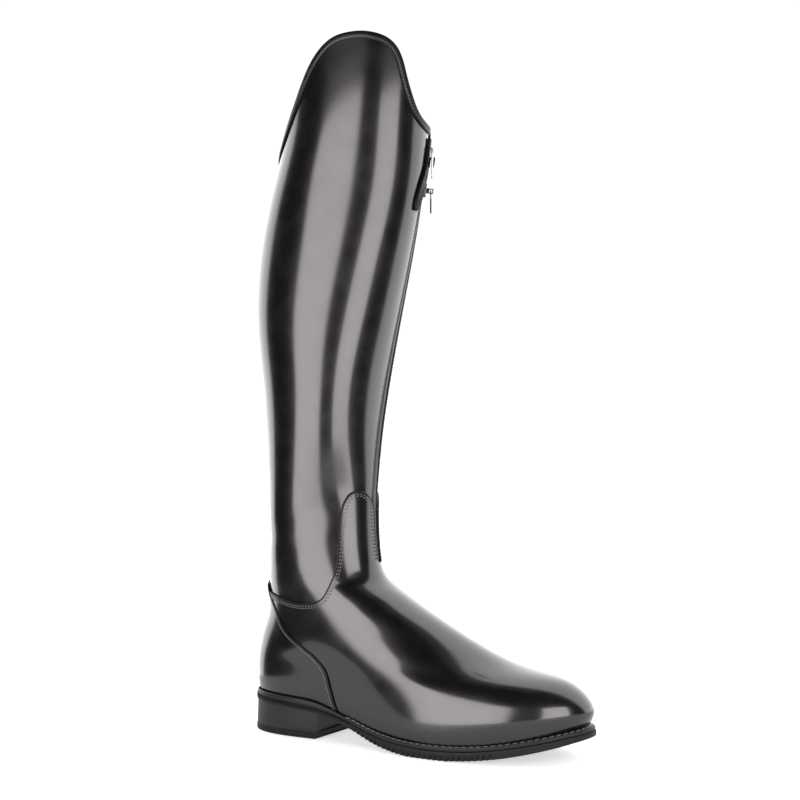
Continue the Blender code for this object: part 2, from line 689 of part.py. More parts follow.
# Strap and buckle at the top of the zip
STRAP_PATH = [
    # row, degrees from the front, half width
    (15.74, -19.0, 7.5),
    (15.58, -18.5, 7.5),
    (15.38, -16.5, 7.0),
    (15.20, -12.5, 6.2),
    (15.06, -8.5, 5.6),
    (14.92, -5.6, 5.2),
    (14.78, -3.4, 4.8),
    (14.66, -1.6, 3.6),
    (14.56, -0.2, 1.0),
]
STRAP_THICK = 1.7


def make_strap(mat, metal):
    v = np.array([r[0] for r in STRAP_PATH])
    mid = np.radians([r[1] for r in STRAP_PATH])
    half = np.array([r[2] for r in STRAP_PATH])
    across = np.array([-1.0, 0.0, 1.0])
    vv = v[:, None] + 0 * across
    phi = mid[:, None] + half[:, None] * across / radius_at(vv, mid[:, None] + 0 * across)
    points, faces = sheet_solid(skin(vv, phi, GAP + STRAP_THICK), skin(vv, phi, GAP))
    add_solid("closure_strap", points, faces, mat)
    frame = zip_frame(15.42)

    def tilt(gx, gy):
        return -0.10 * gy

    xs = [-7.0, -5.6, 5.6, 7.0]
    ys = [-15.0, -13.6, -0.7, 0.7, 8.6, 10.0]
    points, faces = grid_plate(frame, xs, ys, 3.9, 5.3, holes=[(1, 1), (3, 1)], bend=tilt)
    add_solid("buckle_frame", points, faces, metal)
    # leather loop round the buckle's middle bar
    loop = [
        # up, out
        (-5.5, 2.35), (1.6, 2.35), (2.3, 3.1), (2.3, 6.2), (1.6, 6.9), (-5.5, 6.4),
        (-5.5, 5.6), (1.0, 6.0), (1.3, 5.8), (1.3, 3.5), (1.0, 3.2), (-5.5, 3.2),
    ]
    loops = []
    for across in (-4.6, 4.6):
        loops.append(local(frame, [(across, up, out) for up, out in loop]))
    points, faces = tube_solid(np.array(loops), closed=False)
    add_solid("strap_keeper", points, faces, mat)


def build():
    for old in list(bpy.data.objects):
        bpy.data.objects.remove(old, do_unlink=True)
    black_leather = (0.012, 0.012, 0.013)
    rubber = material("sole_rubber", (0.02, 0.02, 0.021), 0.55)
    heel_rubber = material("heel_rubber", (0.025, 0.024, 0.024), 0.5)
    lift_rubber = material("lift_rubber", (0.012, 0.012, 0.012), 0.6)
    make_outsole(rubber)
    make_welt(material("welt_rubber", (0.018, 0.018, 0.019), 0.45))
    make_heel(heel_rubber, lift_rubber)
    make_insole(material("insole_leather", (0.16, 0.1, 0.06), 0.7))
    make_upper(material("shaft_leather", black_leather, 0.12))
    make_vamp(material("vamp_leather", black_leather, 0.1))
    make_counter(material("counter_leather", black_leather, 0.12))
    make_binding(material("binding_leather", (0.014, 0.014, 0.015), 0.3))
    zip_fabric = material("zip_fabric", (0.02, 0.02, 0.022), 0.8)
    zip_teeth = material("zip_teeth", (0.05, 0.05, 0.052), 0.35)
    make_zip(zip_fabric, zip_teeth)
    slider_metal = material("slider_metal", (0.06, 0.06, 0.062), 0.3, 0.9)
    tab_metal = material("tab_metal", (0.07, 0.07, 0.07), 0.35, 0.9)
    make_slider(slider_metal, tab_metal)
    strap_leather = material("strap_leather", black_leather, 0.2)
    silver = material("buckle_silver", (0.75, 0.75, 0.74), 0.2, 1.0)
    make_strap(strap_leather, silver)


build()
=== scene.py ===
"""Dress riding boot, right foot: finished surfaces, stitches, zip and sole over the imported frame.

Lengths are in millimetres here and scaled to metres when a piece is made.
X runs forward to the toe, Y to the medial side, Z up. The form is one function of a section row and
an angle round the leg, with the same tables as the part's source.
"""

import bpy
import numpy as np
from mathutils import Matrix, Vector


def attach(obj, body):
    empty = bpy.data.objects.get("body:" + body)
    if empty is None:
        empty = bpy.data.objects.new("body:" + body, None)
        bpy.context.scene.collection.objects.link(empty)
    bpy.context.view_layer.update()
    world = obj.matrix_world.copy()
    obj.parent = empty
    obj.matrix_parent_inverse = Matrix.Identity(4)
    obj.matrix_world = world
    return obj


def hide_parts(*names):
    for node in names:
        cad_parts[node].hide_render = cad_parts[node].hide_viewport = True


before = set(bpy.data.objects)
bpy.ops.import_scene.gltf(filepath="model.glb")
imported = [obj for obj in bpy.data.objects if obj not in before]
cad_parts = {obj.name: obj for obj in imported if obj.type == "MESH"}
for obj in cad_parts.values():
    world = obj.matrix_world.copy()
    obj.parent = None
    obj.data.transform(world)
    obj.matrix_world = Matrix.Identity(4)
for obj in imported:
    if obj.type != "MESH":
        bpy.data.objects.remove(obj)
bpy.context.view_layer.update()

# Driving dimensions
MM = 0.001
WALL = 2.2
SKIN = 1.0
OVERLAY_GAP = 0.52
GAP = 0.3
EDGE_BEAD = 0.7
WELT_THICK = 2.9
WELT_FLANGE = 5.0
WELT_STEP = 0.7
HEEL_LIP = 3.2
INSOLE_THICK = 3.0
INSOLE_INSET = 3.3
TOP_LIFT = 5.0
BREAST_X = 33.0
BREAST_SLOPE = 1.8
BREAST_HOLLOW = 1.5
NOTCH_PITCH = 4.7
NOTCH_DEEP = 1.5
NOTCH_TALL = 3.4
NOTCH_FROM = 66.0
NOTCH_TO = 196.0
BIND_DROP = 4.5
BIND_THICK = 1.1
SLOT_HALF = 5.0
SLOT_ROW = 8.0
TAPE_HALF = 13.0
TAPE_THICK = 0.8
CHAIN_TOP = -0.2
SLIDER_ROW = 14.93
PIVOT_OUT = 6.4
FACE = OVERLAY_GAP + SKIN

# Underside of the upper (feather) and bottom of the outsole in side view
SOLE_LINES = [
    # x, feather_z, bottom_z
    (-42, 30.0, 25.5),
    (-5, 29.0, 24.0),
    (28, 27.0, 21.0),
    (60, 21.5, 14.0),
    (90, 14.6, 5.2),
    (118, 11.2, 0.6),
    (150, 10.4, 0.0),
    (180, 12.4, 2.2),
    (210, 17.2, 7.6),
    (235, 23.0, 14.4),
    (252, 27.6, 20.2),
]

# Plan of the last at the feather: share of its length from the back, width factor of each side
PLAN = [
    # along, lateral, medial
    (0.00, 1.26, 1.26),
    (0.12, 0.945, 0.93),
    (0.22, 0.77, 0.715),
    (0.34, 0.76, 0.59),
    (0.44, 0.88, 0.62),
    (0.55, 1.03, 0.78),
    (0.66, 1.12, 0.96),
    (0.74, 1.15, 1.07),
    (0.81, 1.17, 1.13),
    (0.88, 1.18, 1.15),
    (0.94, 1.20, 1.12),
    (1.00, 1.22, 1.08),
]

# Sections of the last and leg, a closed ring to a row, from the feather up to above the collar
SECTIONS = [
    # name, back_x, back_z, front_x, front_z, lateral, medial, widest, full, follow, swing
    ("feather", -35.0, 30.2, 246.5, 26.4, 45.0, 45.0, 0, 0.00, 1.00, 6.0),
    ("rand", -37.5, 37.0, 250.0, 34.5, 46.0, 46.0, 0, 0.00, 0.92, 6.0),
    ("toe_top", -38.3, 48.0, 247.0, 44.5, 44.5, 44.0, 0, 0.01, 0.78, 5.5),
    ("toe_back", -38.5, 60.0, 228.0, 58.0, 42.0, 41.0, -2, 0.01, 0.55, 4.0),
    ("ball", -36.1, 71.0, 191.4, 66.2, 39.5, 38.0, -6, 0.01, 0.32, 2.5),
    ("waist", -33.1, 83.0, 154.2, 81.3, 37.5, 36.0, -6, 0.00, 0.14, 1.0),
    ("instep", -28.8, 96.0, 123.3, 97.4, 36.0, 35.0, -4, 0.00, 0.04, 0.0),
    ("crease", -28.2, 112.0, 84.5, 119.7, 36.0, 35.0, 0, 0.00, 0.00, 0.0),
    ("ankle_low", -27.0, 130.0, 68.0, 142.0, 37.0, 36.0, -4, 0.00, 0.00, 0.0),
    ("ankle", -24.3, 155.0, 65.5, 184.0, 38.0, 37.0, -7, 0.00, 0.00, 0.0),
    ("shin_low", -24.9, 190.0, 66.5, 210.0, 41.0, 40.0, -6, 0.00, 0.00, 0.0),
    ("shin", -27.1, 235.0, 69.1, 245.0, 47.0, 46.0, -1, 0.00, 0.00, 0.0),
    ("calf_low", -31.1, 285.0, 75.6, 290.0, 52.0, 51.0, 1, 0.00, 0.00, 0.0),
    ("calf", -36.2, 335.0, 85.5, 338.0, 54.0, 53.0, -2, 0.00, 0.00, 0.0),
    ("calf_high", -33.5, 390.0, 97.6, 392.0, 53.0, 52.0, -3, 0.00, 0.00, 0.0),
    ("under_knee", -21.4, 440.0, 107.2, 442.0, 51.0, 50.0, -6, 0.00, 0.00, 0.0),
    ("knee", -8.4, 490.0, 112.8, 492.0, 50.0, 49.0, -4, 0.00, 0.00, 0.0),
    ("top", -5.3, 540.0, 116.3, 542.0, 49.0, 48.0, -3, 0.00, 0.00, 0.0),
    ("crown", -4.0, 575.0, 118.0, 577.0, 48.5, 47.5, -3, 0.00, 0.00, 0.0),
]

# Collar's top line: degrees from the front towards the lateral side, section row
COLLAR = [
    (-60, 15.70), (-40, 15.84), (-24, 15.90), (-8, 15.94), (6.5, 16.03), (15.5, 16.19), (22, 16.40),
    (27, 16.62), (31, 16.84), (36, 17.05), (43, 17.22), (52, 17.33), (63, 17.39), (75, 17.38),
    (86, 17.30), (97, 17.09), (108, 16.78), (120, 16.38), (130, 16.10), (142, 15.80), (158, 15.58),
    (180, 15.46), (215, 15.42), (260, 15.50),
]

# Seam between heel counter and vamp, then the grid's guide above it: row, degrees from the front
SEAM_GUIDE = [
    (0.0, 112), (1.0, 113), (2.0, 113), (3.0, 112), (3.8, 112), (4.3, 115), (4.8, 121), (5.4, 128),
    (6.2, 134), (6.7, 140), (7.05, 148), (7.45, 154), (7.8, 154), (8.5, 142), (9.5, 128), (10.5, 116),
    (12, 110), (18, 110),
]

# Vamp's top line with its shin tab, lateral side: degrees from the front, section row
VAMP_TOP = [
    (-6, 8.80), (-2.6, 8.88), (0.5, 9.02), (5, 9.18), (9, 9.31),
    (17, 9.50), (26, 9.58), (34, 9.50), (39.5, 9.28), (43, 8.95), (44.6, 8.65), (46, 8.35),
    (49, 8.08), (54, 7.80), (62, 7.45), (77, 6.93), (84, 6.75), (91, 6.65), (105, 6.62), (115, 6.70),
    (128, 6.85), (148, 7.05),
]

# Middle of the zip: section row, degrees from the front
ZIP_LINE = [
    (7.0, -12.5), (7.9, -12), (8.75, -8.5), (9.5, -8), (10.4, -8.5), (11, -9.5), (12, -12),
    (13, -14.5), (14, -16.5), (15, -18.5), (16, -20.5), (18, -22),
]


# Splines over the tables
def natural_spline(xs, ys):
    """Natural cubic spline through points; ys may have columns."""
    xs = np.asarray(xs, float)
    ys = np.asarray(ys, float)
    n = len(xs)
    h = np.diff(xs)
    a = np.zeros((n, n))
    b = np.zeros((n,) + ys.shape[1:])
    a[0, 0] = 1.0
    a[-1, -1] = 1.0
    for i in range(1, n - 1):
        a[i, i - 1] = h[i - 1]
        a[i, i] = 2.0 * (h[i - 1] + h[i])
        a[i, i + 1] = h[i]
        b[i] = 6.0 * ((ys[i + 1] - ys[i]) / h[i] - (ys[i] - ys[i - 1]) / h[i - 1])
    m = np.linalg.solve(a, b)

    def value(x):
        x = np.asarray(x, float)
        i = np.clip(np.searchsorted(xs, x) - 1, 0, n - 2)
        d0 = x - xs[i]
        d1 = xs[i + 1] - x
        hi = h[i]
        if ys.ndim > 1:
            d0, d1, hi = d0[..., None], d1[..., None], hi[..., None]
        cubic = (m[i] * d1 ** 3 + m[i + 1] * d0 ** 3) / (6.0 * hi)
        low = (ys[i] / hi - m[i] * hi / 6.0) * d1
        high = (ys[i + 1] / hi - m[i + 1] * hi / 6.0) * d0
        return cubic + low + high

    return value


def table_line(rows):
    """Straight-line lookup over a two-column table."""
    xs = [r[0] for r in rows]
    ys = [r[1] for r in rows]
    return lambda x: np.interp(x, xs, ys)


sole_lines = natural_spline([r[0] for r in SOLE_LINES], [r[1:] for r in SOLE_LINES])
plan = natural_spline([r[0] for r in PLAN], [r[1:] for r in PLAN])
section = natural_spline(range(len(SECTIONS)), [r[1:] for r in SECTIONS])
zip_degrees = natural_spline([r[0] for r in ZIP_LINE], [r[1] for r in ZIP_LINE])
guide_degrees = table_line(SEAM_GUIDE)
vamp_lateral = table_line(VAMP_TOP)
COLLAR_LOOP = [(a - 360, r) for a, r in COLLAR] + COLLAR + [(a + 360, r) for a, r in COLLAR]
collar_spline = natural_spline([a for a, r in COLLAR_LOOP], [r for a, r in COLLAR_LOOP])
LAST_ROW = len(SECTIONS) - 1


# The form of last and leg
def feather_z(x):
    return sole_lines(np.clip(x, -42, 252))[..., 0]


def bottom_z(x):
    z = sole_lines(np.clip(x, -42, 252))[..., 1]
    return np.where((x > 100) & (x < 170), np.where(z < 0.35, 0.0, z), z)


def boot(v, phi):
    """Outer skin of the upper at section row v and angle phi (0 front, quarter turn lateral)."""
    v, phi = np.broadcast_arrays(np.asarray(v, float), np.asarray(phi, float))
    row = np.moveaxis(section(v), -1, 0)
    back_x, back_z, front_x, front_z, lateral, medial, widest, full, follow, swing = row
    c, s = np.cos(phi), np.sin(phi)
    ce = (c - full * np.cos(3 * phi)) / (1 - full)
    se = (s + full * np.sin(3 * phi)) / (1 - full)
    x = (front_x + back_x) / 2 + (front_x - back_x) / 2 * ce + widest * s * s
    u = np.clip((x - back_x) / (front_x - back_x), 0, 1)
    chord = feather_z(back_x) + (feather_z(front_x) - feather_z(back_x)) * u
    z = back_z + (front_z - back_z) * u + follow * (feather_z(x) - chord)
    factor = plan(u)
    lat = lateral * (1 + follow * (factor[..., 0] - 1))
    med = medial * (1 + follow * (factor[..., 1] - 1))
    y = -se * (lat * (1 + s) / 2 + med * (1 - s) / 2) + swing * u ** 3
    return np.stack([x, y, z], -1)


def skin_normal(v, phi):
    """Outward unit normals of the skin."""
    v, phi = np.broadcast_arrays(np.asarray(v, float), np.asarray(phi, float))
    e = 1e-3
    along = boot(np.minimum(v + e, LAST_ROW), phi) - boot(np.maximum(v - e, 0), phi)
    across = boot(v, phi + e) - boot(v, phi - e)
    n = np.cross(along, across)
    return n / np.linalg.norm(n, axis=-1, keepdims=True)


def skin(v, phi, lift):
    """Skin moved along its normal by lift."""
    lift = np.asarray(lift, float)
    if lift.ndim:
        lift = lift[..., None]
    return boot(v, phi) + skin_normal(v, phi) * lift


def collar_row(degrees):
    return collar_spline((np.asarray(degrees) + 60) % 360 - 60)


def radius_at(v, phi):
    """Length of skin per radian of phi."""
    e = 1e-3
    return np.linalg.norm(boot(v, phi + e) - boot(v, phi - e), axis=-1) / (2 * e)


def zip_frame(v):
    """Point, outward, up and side directions on the zip's middle at row v."""
    phi = np.radians(zip_degrees(v))
    p = boot(v, phi)
    n = skin_normal(v, phi)
    up = boot(v + 1e-3, np.radians(zip_degrees(v + 1e-3))) - p
    up = up - n * np.dot(up, n)
    up = up / np.linalg.norm(up)
    return p, n, up, np.cross(up, n)


# Sole outline
def feather_outline(phi, offset):
    """Plan of the feather ring moved outward by offset, with the ring's own x kept beside it."""
    p = boot(0.0, phi)
    e = 1e-3
    t = boot(0.0, phi + e) - boot(0.0, phi - e)
    n = np.stack([t[..., 1], -t[..., 0]], -1)
    n = n / np.linalg.norm(n, axis=-1, keepdims=True)
    out = np.sign(np.sum(n * (p[..., :2] - np.array([100.0, 0.0])), axis=-1).sum())
    return p[..., :2] + n * out * np.asarray(offset)[..., None], p[..., 0]


def sole_margin(x):
    """Width of sole standing out past the upper."""
    forefoot = 1.3 * np.clip((x - 60) / 60, 0, 1)
    toe = 0.9 * np.clip((x - 200) / 46, 0, 1)
    heel = 1.3 * (1 - np.clip((x - 10) / 50, 0, 1))
    return 4.3 + forefoot + toe + heel - 0.8 * np.exp(-((x - 62) / 26.0) ** 2)


def sole_loop(phi, inset, height):
    """Closed loop of the sole's edge at phi, inset from the full edge, at height(x of the feather)."""
    x_ring = boot(0.0, phi)[..., 0]
    xy, _ = feather_outline(phi, sole_margin(x_ring) - inset)
    return np.concatenate([xy, height(x_ring)[:, None]], axis=1)


SIDE_CELLS = 12
BACK_CELLS = 12
COLUMNS = 2 * SIDE_CELLS + BACK_CELLS


def column_degrees(v, column):
    """Angle of a grid column: from one edge of the zip slot round the leg to the other."""
    at = np.maximum(v, SLOT_ROW)
    mid = zip_degrees(at)
    half = np.degrees(SLOT_HALF / radius_at(at, np.radians(mid)))
    guide = guide_degrees(v)
    first = mid + half
    last = 360 + mid - half
    side = first + (guide - first) * column / SIDE_CELLS
    back = guide + (360 - 2 * guide) * (column - SIDE_CELLS) / BACK_CELLS
    other = 360 - guide + (last - 360 + guide) * (column - SIDE_CELLS - BACK_CELLS) / SIDE_CELLS
    return np.where(column < SIDE_CELLS, side, np.where(column <= SIDE_CELLS + BACK_CELLS, back, other))


# Making pieces
def piece(name, shape, mat, cad=(), body="boot", angle=38):
    """One mesh from points in millimetres and faces, which are turned outward by its volume."""
    points = np.asarray(shape[0], float).reshape(-1, 3)
    faces = [list(f) for f in shape[1]]
    volume = 0.0
    for size in sorted({len(f) for f in faces}):
        group = np.array([f for f in faces if len(f) == size])
        for k in range(1, size - 1):
            a, b, c = points[group[:, 0]], points[group[:, k]], points[group[:, k + 1]]
            volume += np.sum(a * np.cross(b, c))
    if volume < 0:
        faces = [f[::-1] for f in faces]
    mesh = bpy.data.meshes.new(name)
    mesh.from_pydata((points * MM).tolist(), [], faces)
    mesh.update()
    mesh.shade_smooth()
    if angle:
        mesh.set_sharp_from_angle(angle=np.radians(angle))
    mesh.materials.append(mat)
    obj = bpy.data.objects.new(name, mesh)
    bpy.context.scene.collection.objects.link(obj)
    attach(obj, body)
    if cad:
        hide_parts(*cad)
    return obj


def sheet(outer, inner, active=None, closed=False):
    """Faces of a sheet between two grids of points; cells left out of active are open."""
    rows, cols = outer.shape[:2]
    cells = cols if closed else cols - 1
    if active is None:
        active = np.ones((rows - 1, cells), bool)
    base = rows * cols
    i, j = np.nonzero(active)
    k = (j + 1) % cols
    a, b, c, d = i * cols + j, i * cols + k, (i + 1) * cols + k, (i + 1) * cols + j
    faces = np.stack([a, b, c, d], 1).tolist()
    faces += np.stack([base + d, base + c, base + b, base + a], 1).tolist()
    wide = np.zeros((rows + 1, cells + 2), bool)
    wide[1:-1, 1:-1] = active
    if closed:
        wide[1:-1, 0] = active[:, -1]
        wide[1:-1, -1] = active[:, 0]
    for di, dj, p, q in ((-1, 0, a, b), (1, 0, c, d), (0, -1, d, a), (0, 1, b, c)):
        edge = ~wide[i + 1 + di, j + 1 + dj]
        p, q = p[edge], q[edge]
        faces += np.stack([base + p, base + q, q, p], 1).tolist()
    return compact(np.concatenate([outer.reshape(-1, 3), inner.reshape(-1, 3)]), faces)


def compact(points, faces):
    """The same faces without the points that none of them uses."""
    used = np.unique(np.concatenate([np.asarray(f) for f in faces]))
    new = np.full(len(points), -1)
    new[used] = np.arange(len(used))
    return points[used], [[int(new[i]) for i in f] for f in faces]


def ring_faces(spans, count, size):
    """Four-sided faces between loops of size points, for so many spans of count loops."""
    i, j = np.meshgrid(np.arange(spans), np.arange(size), indexing="ij")
    i, j = i.ravel(), j.ravel()
    k, n = (j + 1) % size, (i + 1) % count
    return np.stack([i * size + j, i * size + k, n * size + k, n * size + j], 1).tolist()


def sweep(loops, closed=False):
    """Faces of a body swept through loops of points; open sweeps get flat ends."""
    loops = np.asarray(loops, float)
    count, size = loops.shape[:2]
    faces = ring_faces(count if closed else count - 1, count, size)
    if not closed:
        faces.append(list(range(size))[::-1])
        faces.append([(count - 1) * size + j for j in range(size)])
    return loops.reshape(-1, 3), faces


def plate(loops, relief_over=None):
    """Stacked loops whose point i pairs with point -i; both ends are grids across the plate.

    The last loop's grid is the underside, and relief_over may shape it.
    """
    loops = np.asarray(loops, float)
    count, size = loops.shape[:2]
    half = size // 2
    points = [loops.reshape(-1, 3)]
    faces = ring_faces(count - 1, count, size)
    start = count * size
    share = 0.5 - 0.5 * np.cos(np.linspace(0, np.pi, 25))
    for base, shape, turn in ((0, None, -1), ((count - 1) * size, relief_over, 1)):
        loop = loops[base // size]
        a = loop[1:half]
        b = loop[:half:-1]
        grid = a[:, None] + (b - a)[:, None] * share[None, 1:-1, None]
        if shape is not None:
            grid = shape(grid)
        points.append(grid.reshape(-1, 3))
        rows, cols = grid.shape[:2]
        ids = np.zeros((rows, cols + 2), int)
        ids[:, 1:-1] = start + np.arange(rows * cols).reshape(rows, cols)
        ids[:, 0] = base + np.arange(1, half)
        ids[:, -1] = base + size - np.arange(1, half)
        start += rows * cols
        new = []
        for r in range(rows - 1):
            for c in range(cols + 1):
                new.append([ids[r, c], ids[r, c + 1], ids[r + 1, c + 1], ids[r + 1, c]])
        for c in range(cols + 1):
            new.append([base, ids[0, c + 1], ids[0, c]])
            new.append([base + half, ids[-1, c], ids[-1, c + 1]])
        faces += [[int(v) for v in f[::-turn]] for f in new]
    return np.concatenate(points), faces


# Paths over the skin
def unit(vectors):
    return vectors / np.linalg.norm(vectors, axis=-1, keepdims=True)


def tangents(points):
    return unit(np.gradient(points, axis=0))


def run_along(points):
    """Length of a path from its start to each of its points."""
    return np.concatenate([[0], np.cumsum(np.linalg.norm(np.diff(points, axis=0), axis=1))])


def side_step(v, phi, across):
    """Path moved sideways over the skin, by the given millimetres to its left seen from outside."""
    v, phi = np.array(v, float), np.array(phi, float)
    e = 1e-3
    for _ in range(3):
        t = tangents(boot(v, phi))
        side = np.cross(skin_normal(v, phi), t) * np.asarray(across)[..., None] / 3
        dv = (boot(v + e, phi) - boot(v - e, phi)) / (2 * e)
        dp = (boot(v, phi + e) - boot(v, phi - e)) / (2 * e)
        aa, ab, bb = (dv * dv).sum(-1), (dv * dp).sum(-1), (dp * dp).sum(-1)
        ra, rb = (dv * side).sum(-1), (dp * side).sum(-1)
        det = aa * bb - ab * ab
        v = v + (ra * bb - rb * ab) / det
        phi = phi + (rb * aa - ra * ab) / det
    return v, phi


def even(v, phi, pitch):
    """The path's points at even steps of about pitch."""
    run = run_along(boot(v, phi))
    marks = np.linspace(0, run[-1], max(2, int(round(run[-1] / pitch)) + 1))
    return np.interp(marks, run, v), np.interp(marks, run, phi)


def path_frames(v, phi, lift):
    """Points on the leather, with the directions along the path, outward and to its left."""
    p = leather(v, phi, lift)
    n = skin_normal(v, phi)
    t = tangents(p)
    return p, t, n, np.cross(n, t)


def pill(sides=8, rings=5):
    """Unit sphere as a small mesh."""
    points, faces = [(0, 0, -1.0)], []
    for r in range(1, rings):
        b = np.pi * r / rings
        for s in range(sides):
            a = 2 * np.pi * s / sides
            points.append((np.sin(b) * np.cos(a), np.sin(b) * np.sin(a), -np.cos(b)))
    points.append((0, 0, 1.0))
    last = len(points) - 1
    for s in range(sides):
        k = (s + 1) % sides
        faces.append([0, 1 + k, 1 + s])
        faces.append([last, last - sides + s, last - sides + k])
        for r in range(rings - 2):
            a = 1 + r * sides
            faces.append([a + s, a + k, a + sides + k, a + sides + s])
    return np.array(points), faces


def beads(p, along, out, side, size, turn=0.0):
    """Ellipsoids at points, longest along the path, turned about their outward direction."""
    ball, shape = pill()
    c, s = np.cos(turn), np.sin(turn)
    x = along * c + side * s
    y = side * c - along * s
    points = (p[:, None] + ball[None, :, 2:3] * x[:, None] * size[0]
              + ball[None, :, 0:1] * y[:, None] * size[1]
              + ball[None, :, 1:2] * out[:, None] * size[2])
    faces = [[int(i) + len(ball) * m for i in f] for m in range(len(p)) for f in shape]
    return points.reshape(-1, 3), faces


def join(parts):
    """Several shapes as one."""
    points, faces, base = [], [], 0
    for p, f in parts:
        points.append(np.asarray(p).reshape(-1, 3))
        faces += [[i + base for i in face] for face in f]
        base += len(points[-1])
    return np.concatenate(points), faces


def stitches(v, phi, lift, pitch=2.9, size=(1.0, 0.55, 0.62)):
    p, t, n, side = path_frames(*even(v, phi, pitch), lift)
    return beads(p[1:-1], t[1:-1], n[1:-1], side[1:-1], size)


def edge_roll(v, phi, low, high, half):
    """Rounded leather edge along a path, from low to high over the skin."""
    p, _, n, side = path_frames(v, phi, 0.0)
    a = np.linspace(0, 2 * np.pi, 13)[:-1]
    mid, tall = (low + high) / 2, (high - low) / 2
    round_a = np.sign(np.cos(a)) * np.abs(np.cos(a)) ** 0.8
    round_b = np.sign(np.sin(a)) * np.abs(np.sin(a)) ** 0.8
    across = side[:, None] * (half * round_a)[None, :, None]
    return sweep(p[:, None] + across + n[:, None] * (mid + tall * round_b)[None, :, None])


# Leather pieces
FOLLOW_ROW = 13.0
COLLAR_DROP = 0.035
COUNTER_TOP = 7.42
COUNTER_ARCH = 0.2


def shaft_rows(column):
    """Section rows of the shaft's grid over its columns, up to the collar."""
    level = np.concatenate([np.linspace(0, 6.5, 27)[:-1], np.linspace(6.5, FOLLOW_ROW, 76)])
    rows = [r + 0 * column for r in level]
    for t in np.linspace(0, 1, 51)[1:]:
        v = FOLLOW_ROW + 3.0 * t + 0 * column
        for _ in range(12):
            v = FOLLOW_ROW + (collar_row(column_degrees(v, column)) - COLLAR_DROP - FOLLOW_ROW) * t
        rows.append(v)
    return np.array(rows)


def hump(v, phi, row, degrees, high, wide_v, wide_degrees):
    """Soft hump or dent of the leather round a row and an angle."""
    turn = (np.degrees(phi) - degrees + 180) % 360 - 180
    return high * np.exp(-((v - row) / wide_v) ** 2 - (turn / wide_degrees) ** 2)


# Soft troughs and ridges of the ankle and foot
CREASES = [
    # row, degrees from the front, height, half width in rows, half width in degrees
    (9.35, 92, -0.55, 0.30, 26),
    (8.75, 110, 0.45, 0.28, 24),
    (8.05, 128, -0.35, 0.30, 26),
    (9.60, 140, 0.30, 0.35, 22),
    (9.20, 268, -0.50, 0.32, 28),
    (8.55, 250, 0.40, 0.30, 26),
    (7.70, 60, 0.35, 0.22, 20),
    (7.35, 36, -0.45, 0.20, 26),
    (7.35, -40, -0.40, 0.20, 24),
    (6.75, 20, 0.30, 0.22, 34),
    (2.15, 60, 1.45, 0.90, 34),
    (2.15, -66, 1.20, 0.90, 34),
    (9.05, 60, -0.55, 0.40, 16),
    (8.55, 74, 0.45, 0.35, 16),
    (3.55, 60, -0.60, 0.50, 12),
]


def relief(v, phi):
    """Height of the leather's soft troughs and ridges over the plain form."""
    total = 0.0
    for row in CREASES:
        total = total + hump(v, phi, *row)
    return total


def leather(v, phi, lift):
    return skin(v, phi, np.asarray(lift, float) + relief(v, phi))


def make_shaft(mats):
    column = np.linspace(0, COLUMNS, 6 * COLUMNS + 1)
    column = np.sort(np.concatenate([column, [0.03, 0.08, COLUMNS - 0.08, COLUMNS - 0.03]]))
    v = shaft_rows(column)
    phi = np.radians(column_degrees(v, column + 0 * v))
    near = np.minimum(column, COLUMNS - column)
    fold = np.interp(near, [0, 0.03, 0.08, 0.17], [0.55, 0.16, 0.02, 0.0])
    fold = fold * np.clip((v - SLOT_ROW) / 0.05, 0, 1)
    active = np.ones((v.shape[0] - 1, v.shape[1]), bool)
    active[:, -1] = v[1:, 0] <= SLOT_ROW + 0.02
    shape = sheet(leather(v, phi, -fold), leather(v, phi, -WALL + 0 * fold), active, closed=True)
    piece("shaft", shape, mats["shaft"], ["upper"])
    v, phi = v[27:], phi[27:]
    shape = sheet(leather(v, phi, -WALL - 0.02), leather(v, phi, -WALL - 0.3))
    piece("lining", shape, mats["lining"])


def vamp_top(column):
    v = 7.0 + 0 * column
    for _ in range(60):
        v = 0.6 * v + 0.4 * vamp_lateral(column_degrees(v, column))
    return v


def smooth_line(values, times):
    for _ in range(times):
        values[1:-1] = (values[:-2] + 2 * values[1:-1] + values[2:]) / 4
    return values


VAMP_LATERAL = np.unique(np.concatenate([np.linspace(0, 3, 26), np.linspace(3, 4.6, 54),
                                         np.linspace(4.6, 11.95, 60)]).round(4))


def rim_path(top, mirror):
    """Edge of the vamp from the counter over its shin tab and down beside the zip."""
    down = np.linspace(top[0], SLOT_ROW - 0.05, 60)[1:]
    rows = np.concatenate([top[::-1], down])
    cols = np.concatenate([VAMP_LATERAL[::-1], 0 * down])
    cols = COLUMNS - cols if mirror else cols
    rows, phis = even(rows, np.radians(column_degrees(rows, cols)), 1.1)
    return smooth_line(rows, 4), smooth_line(phis, 4)


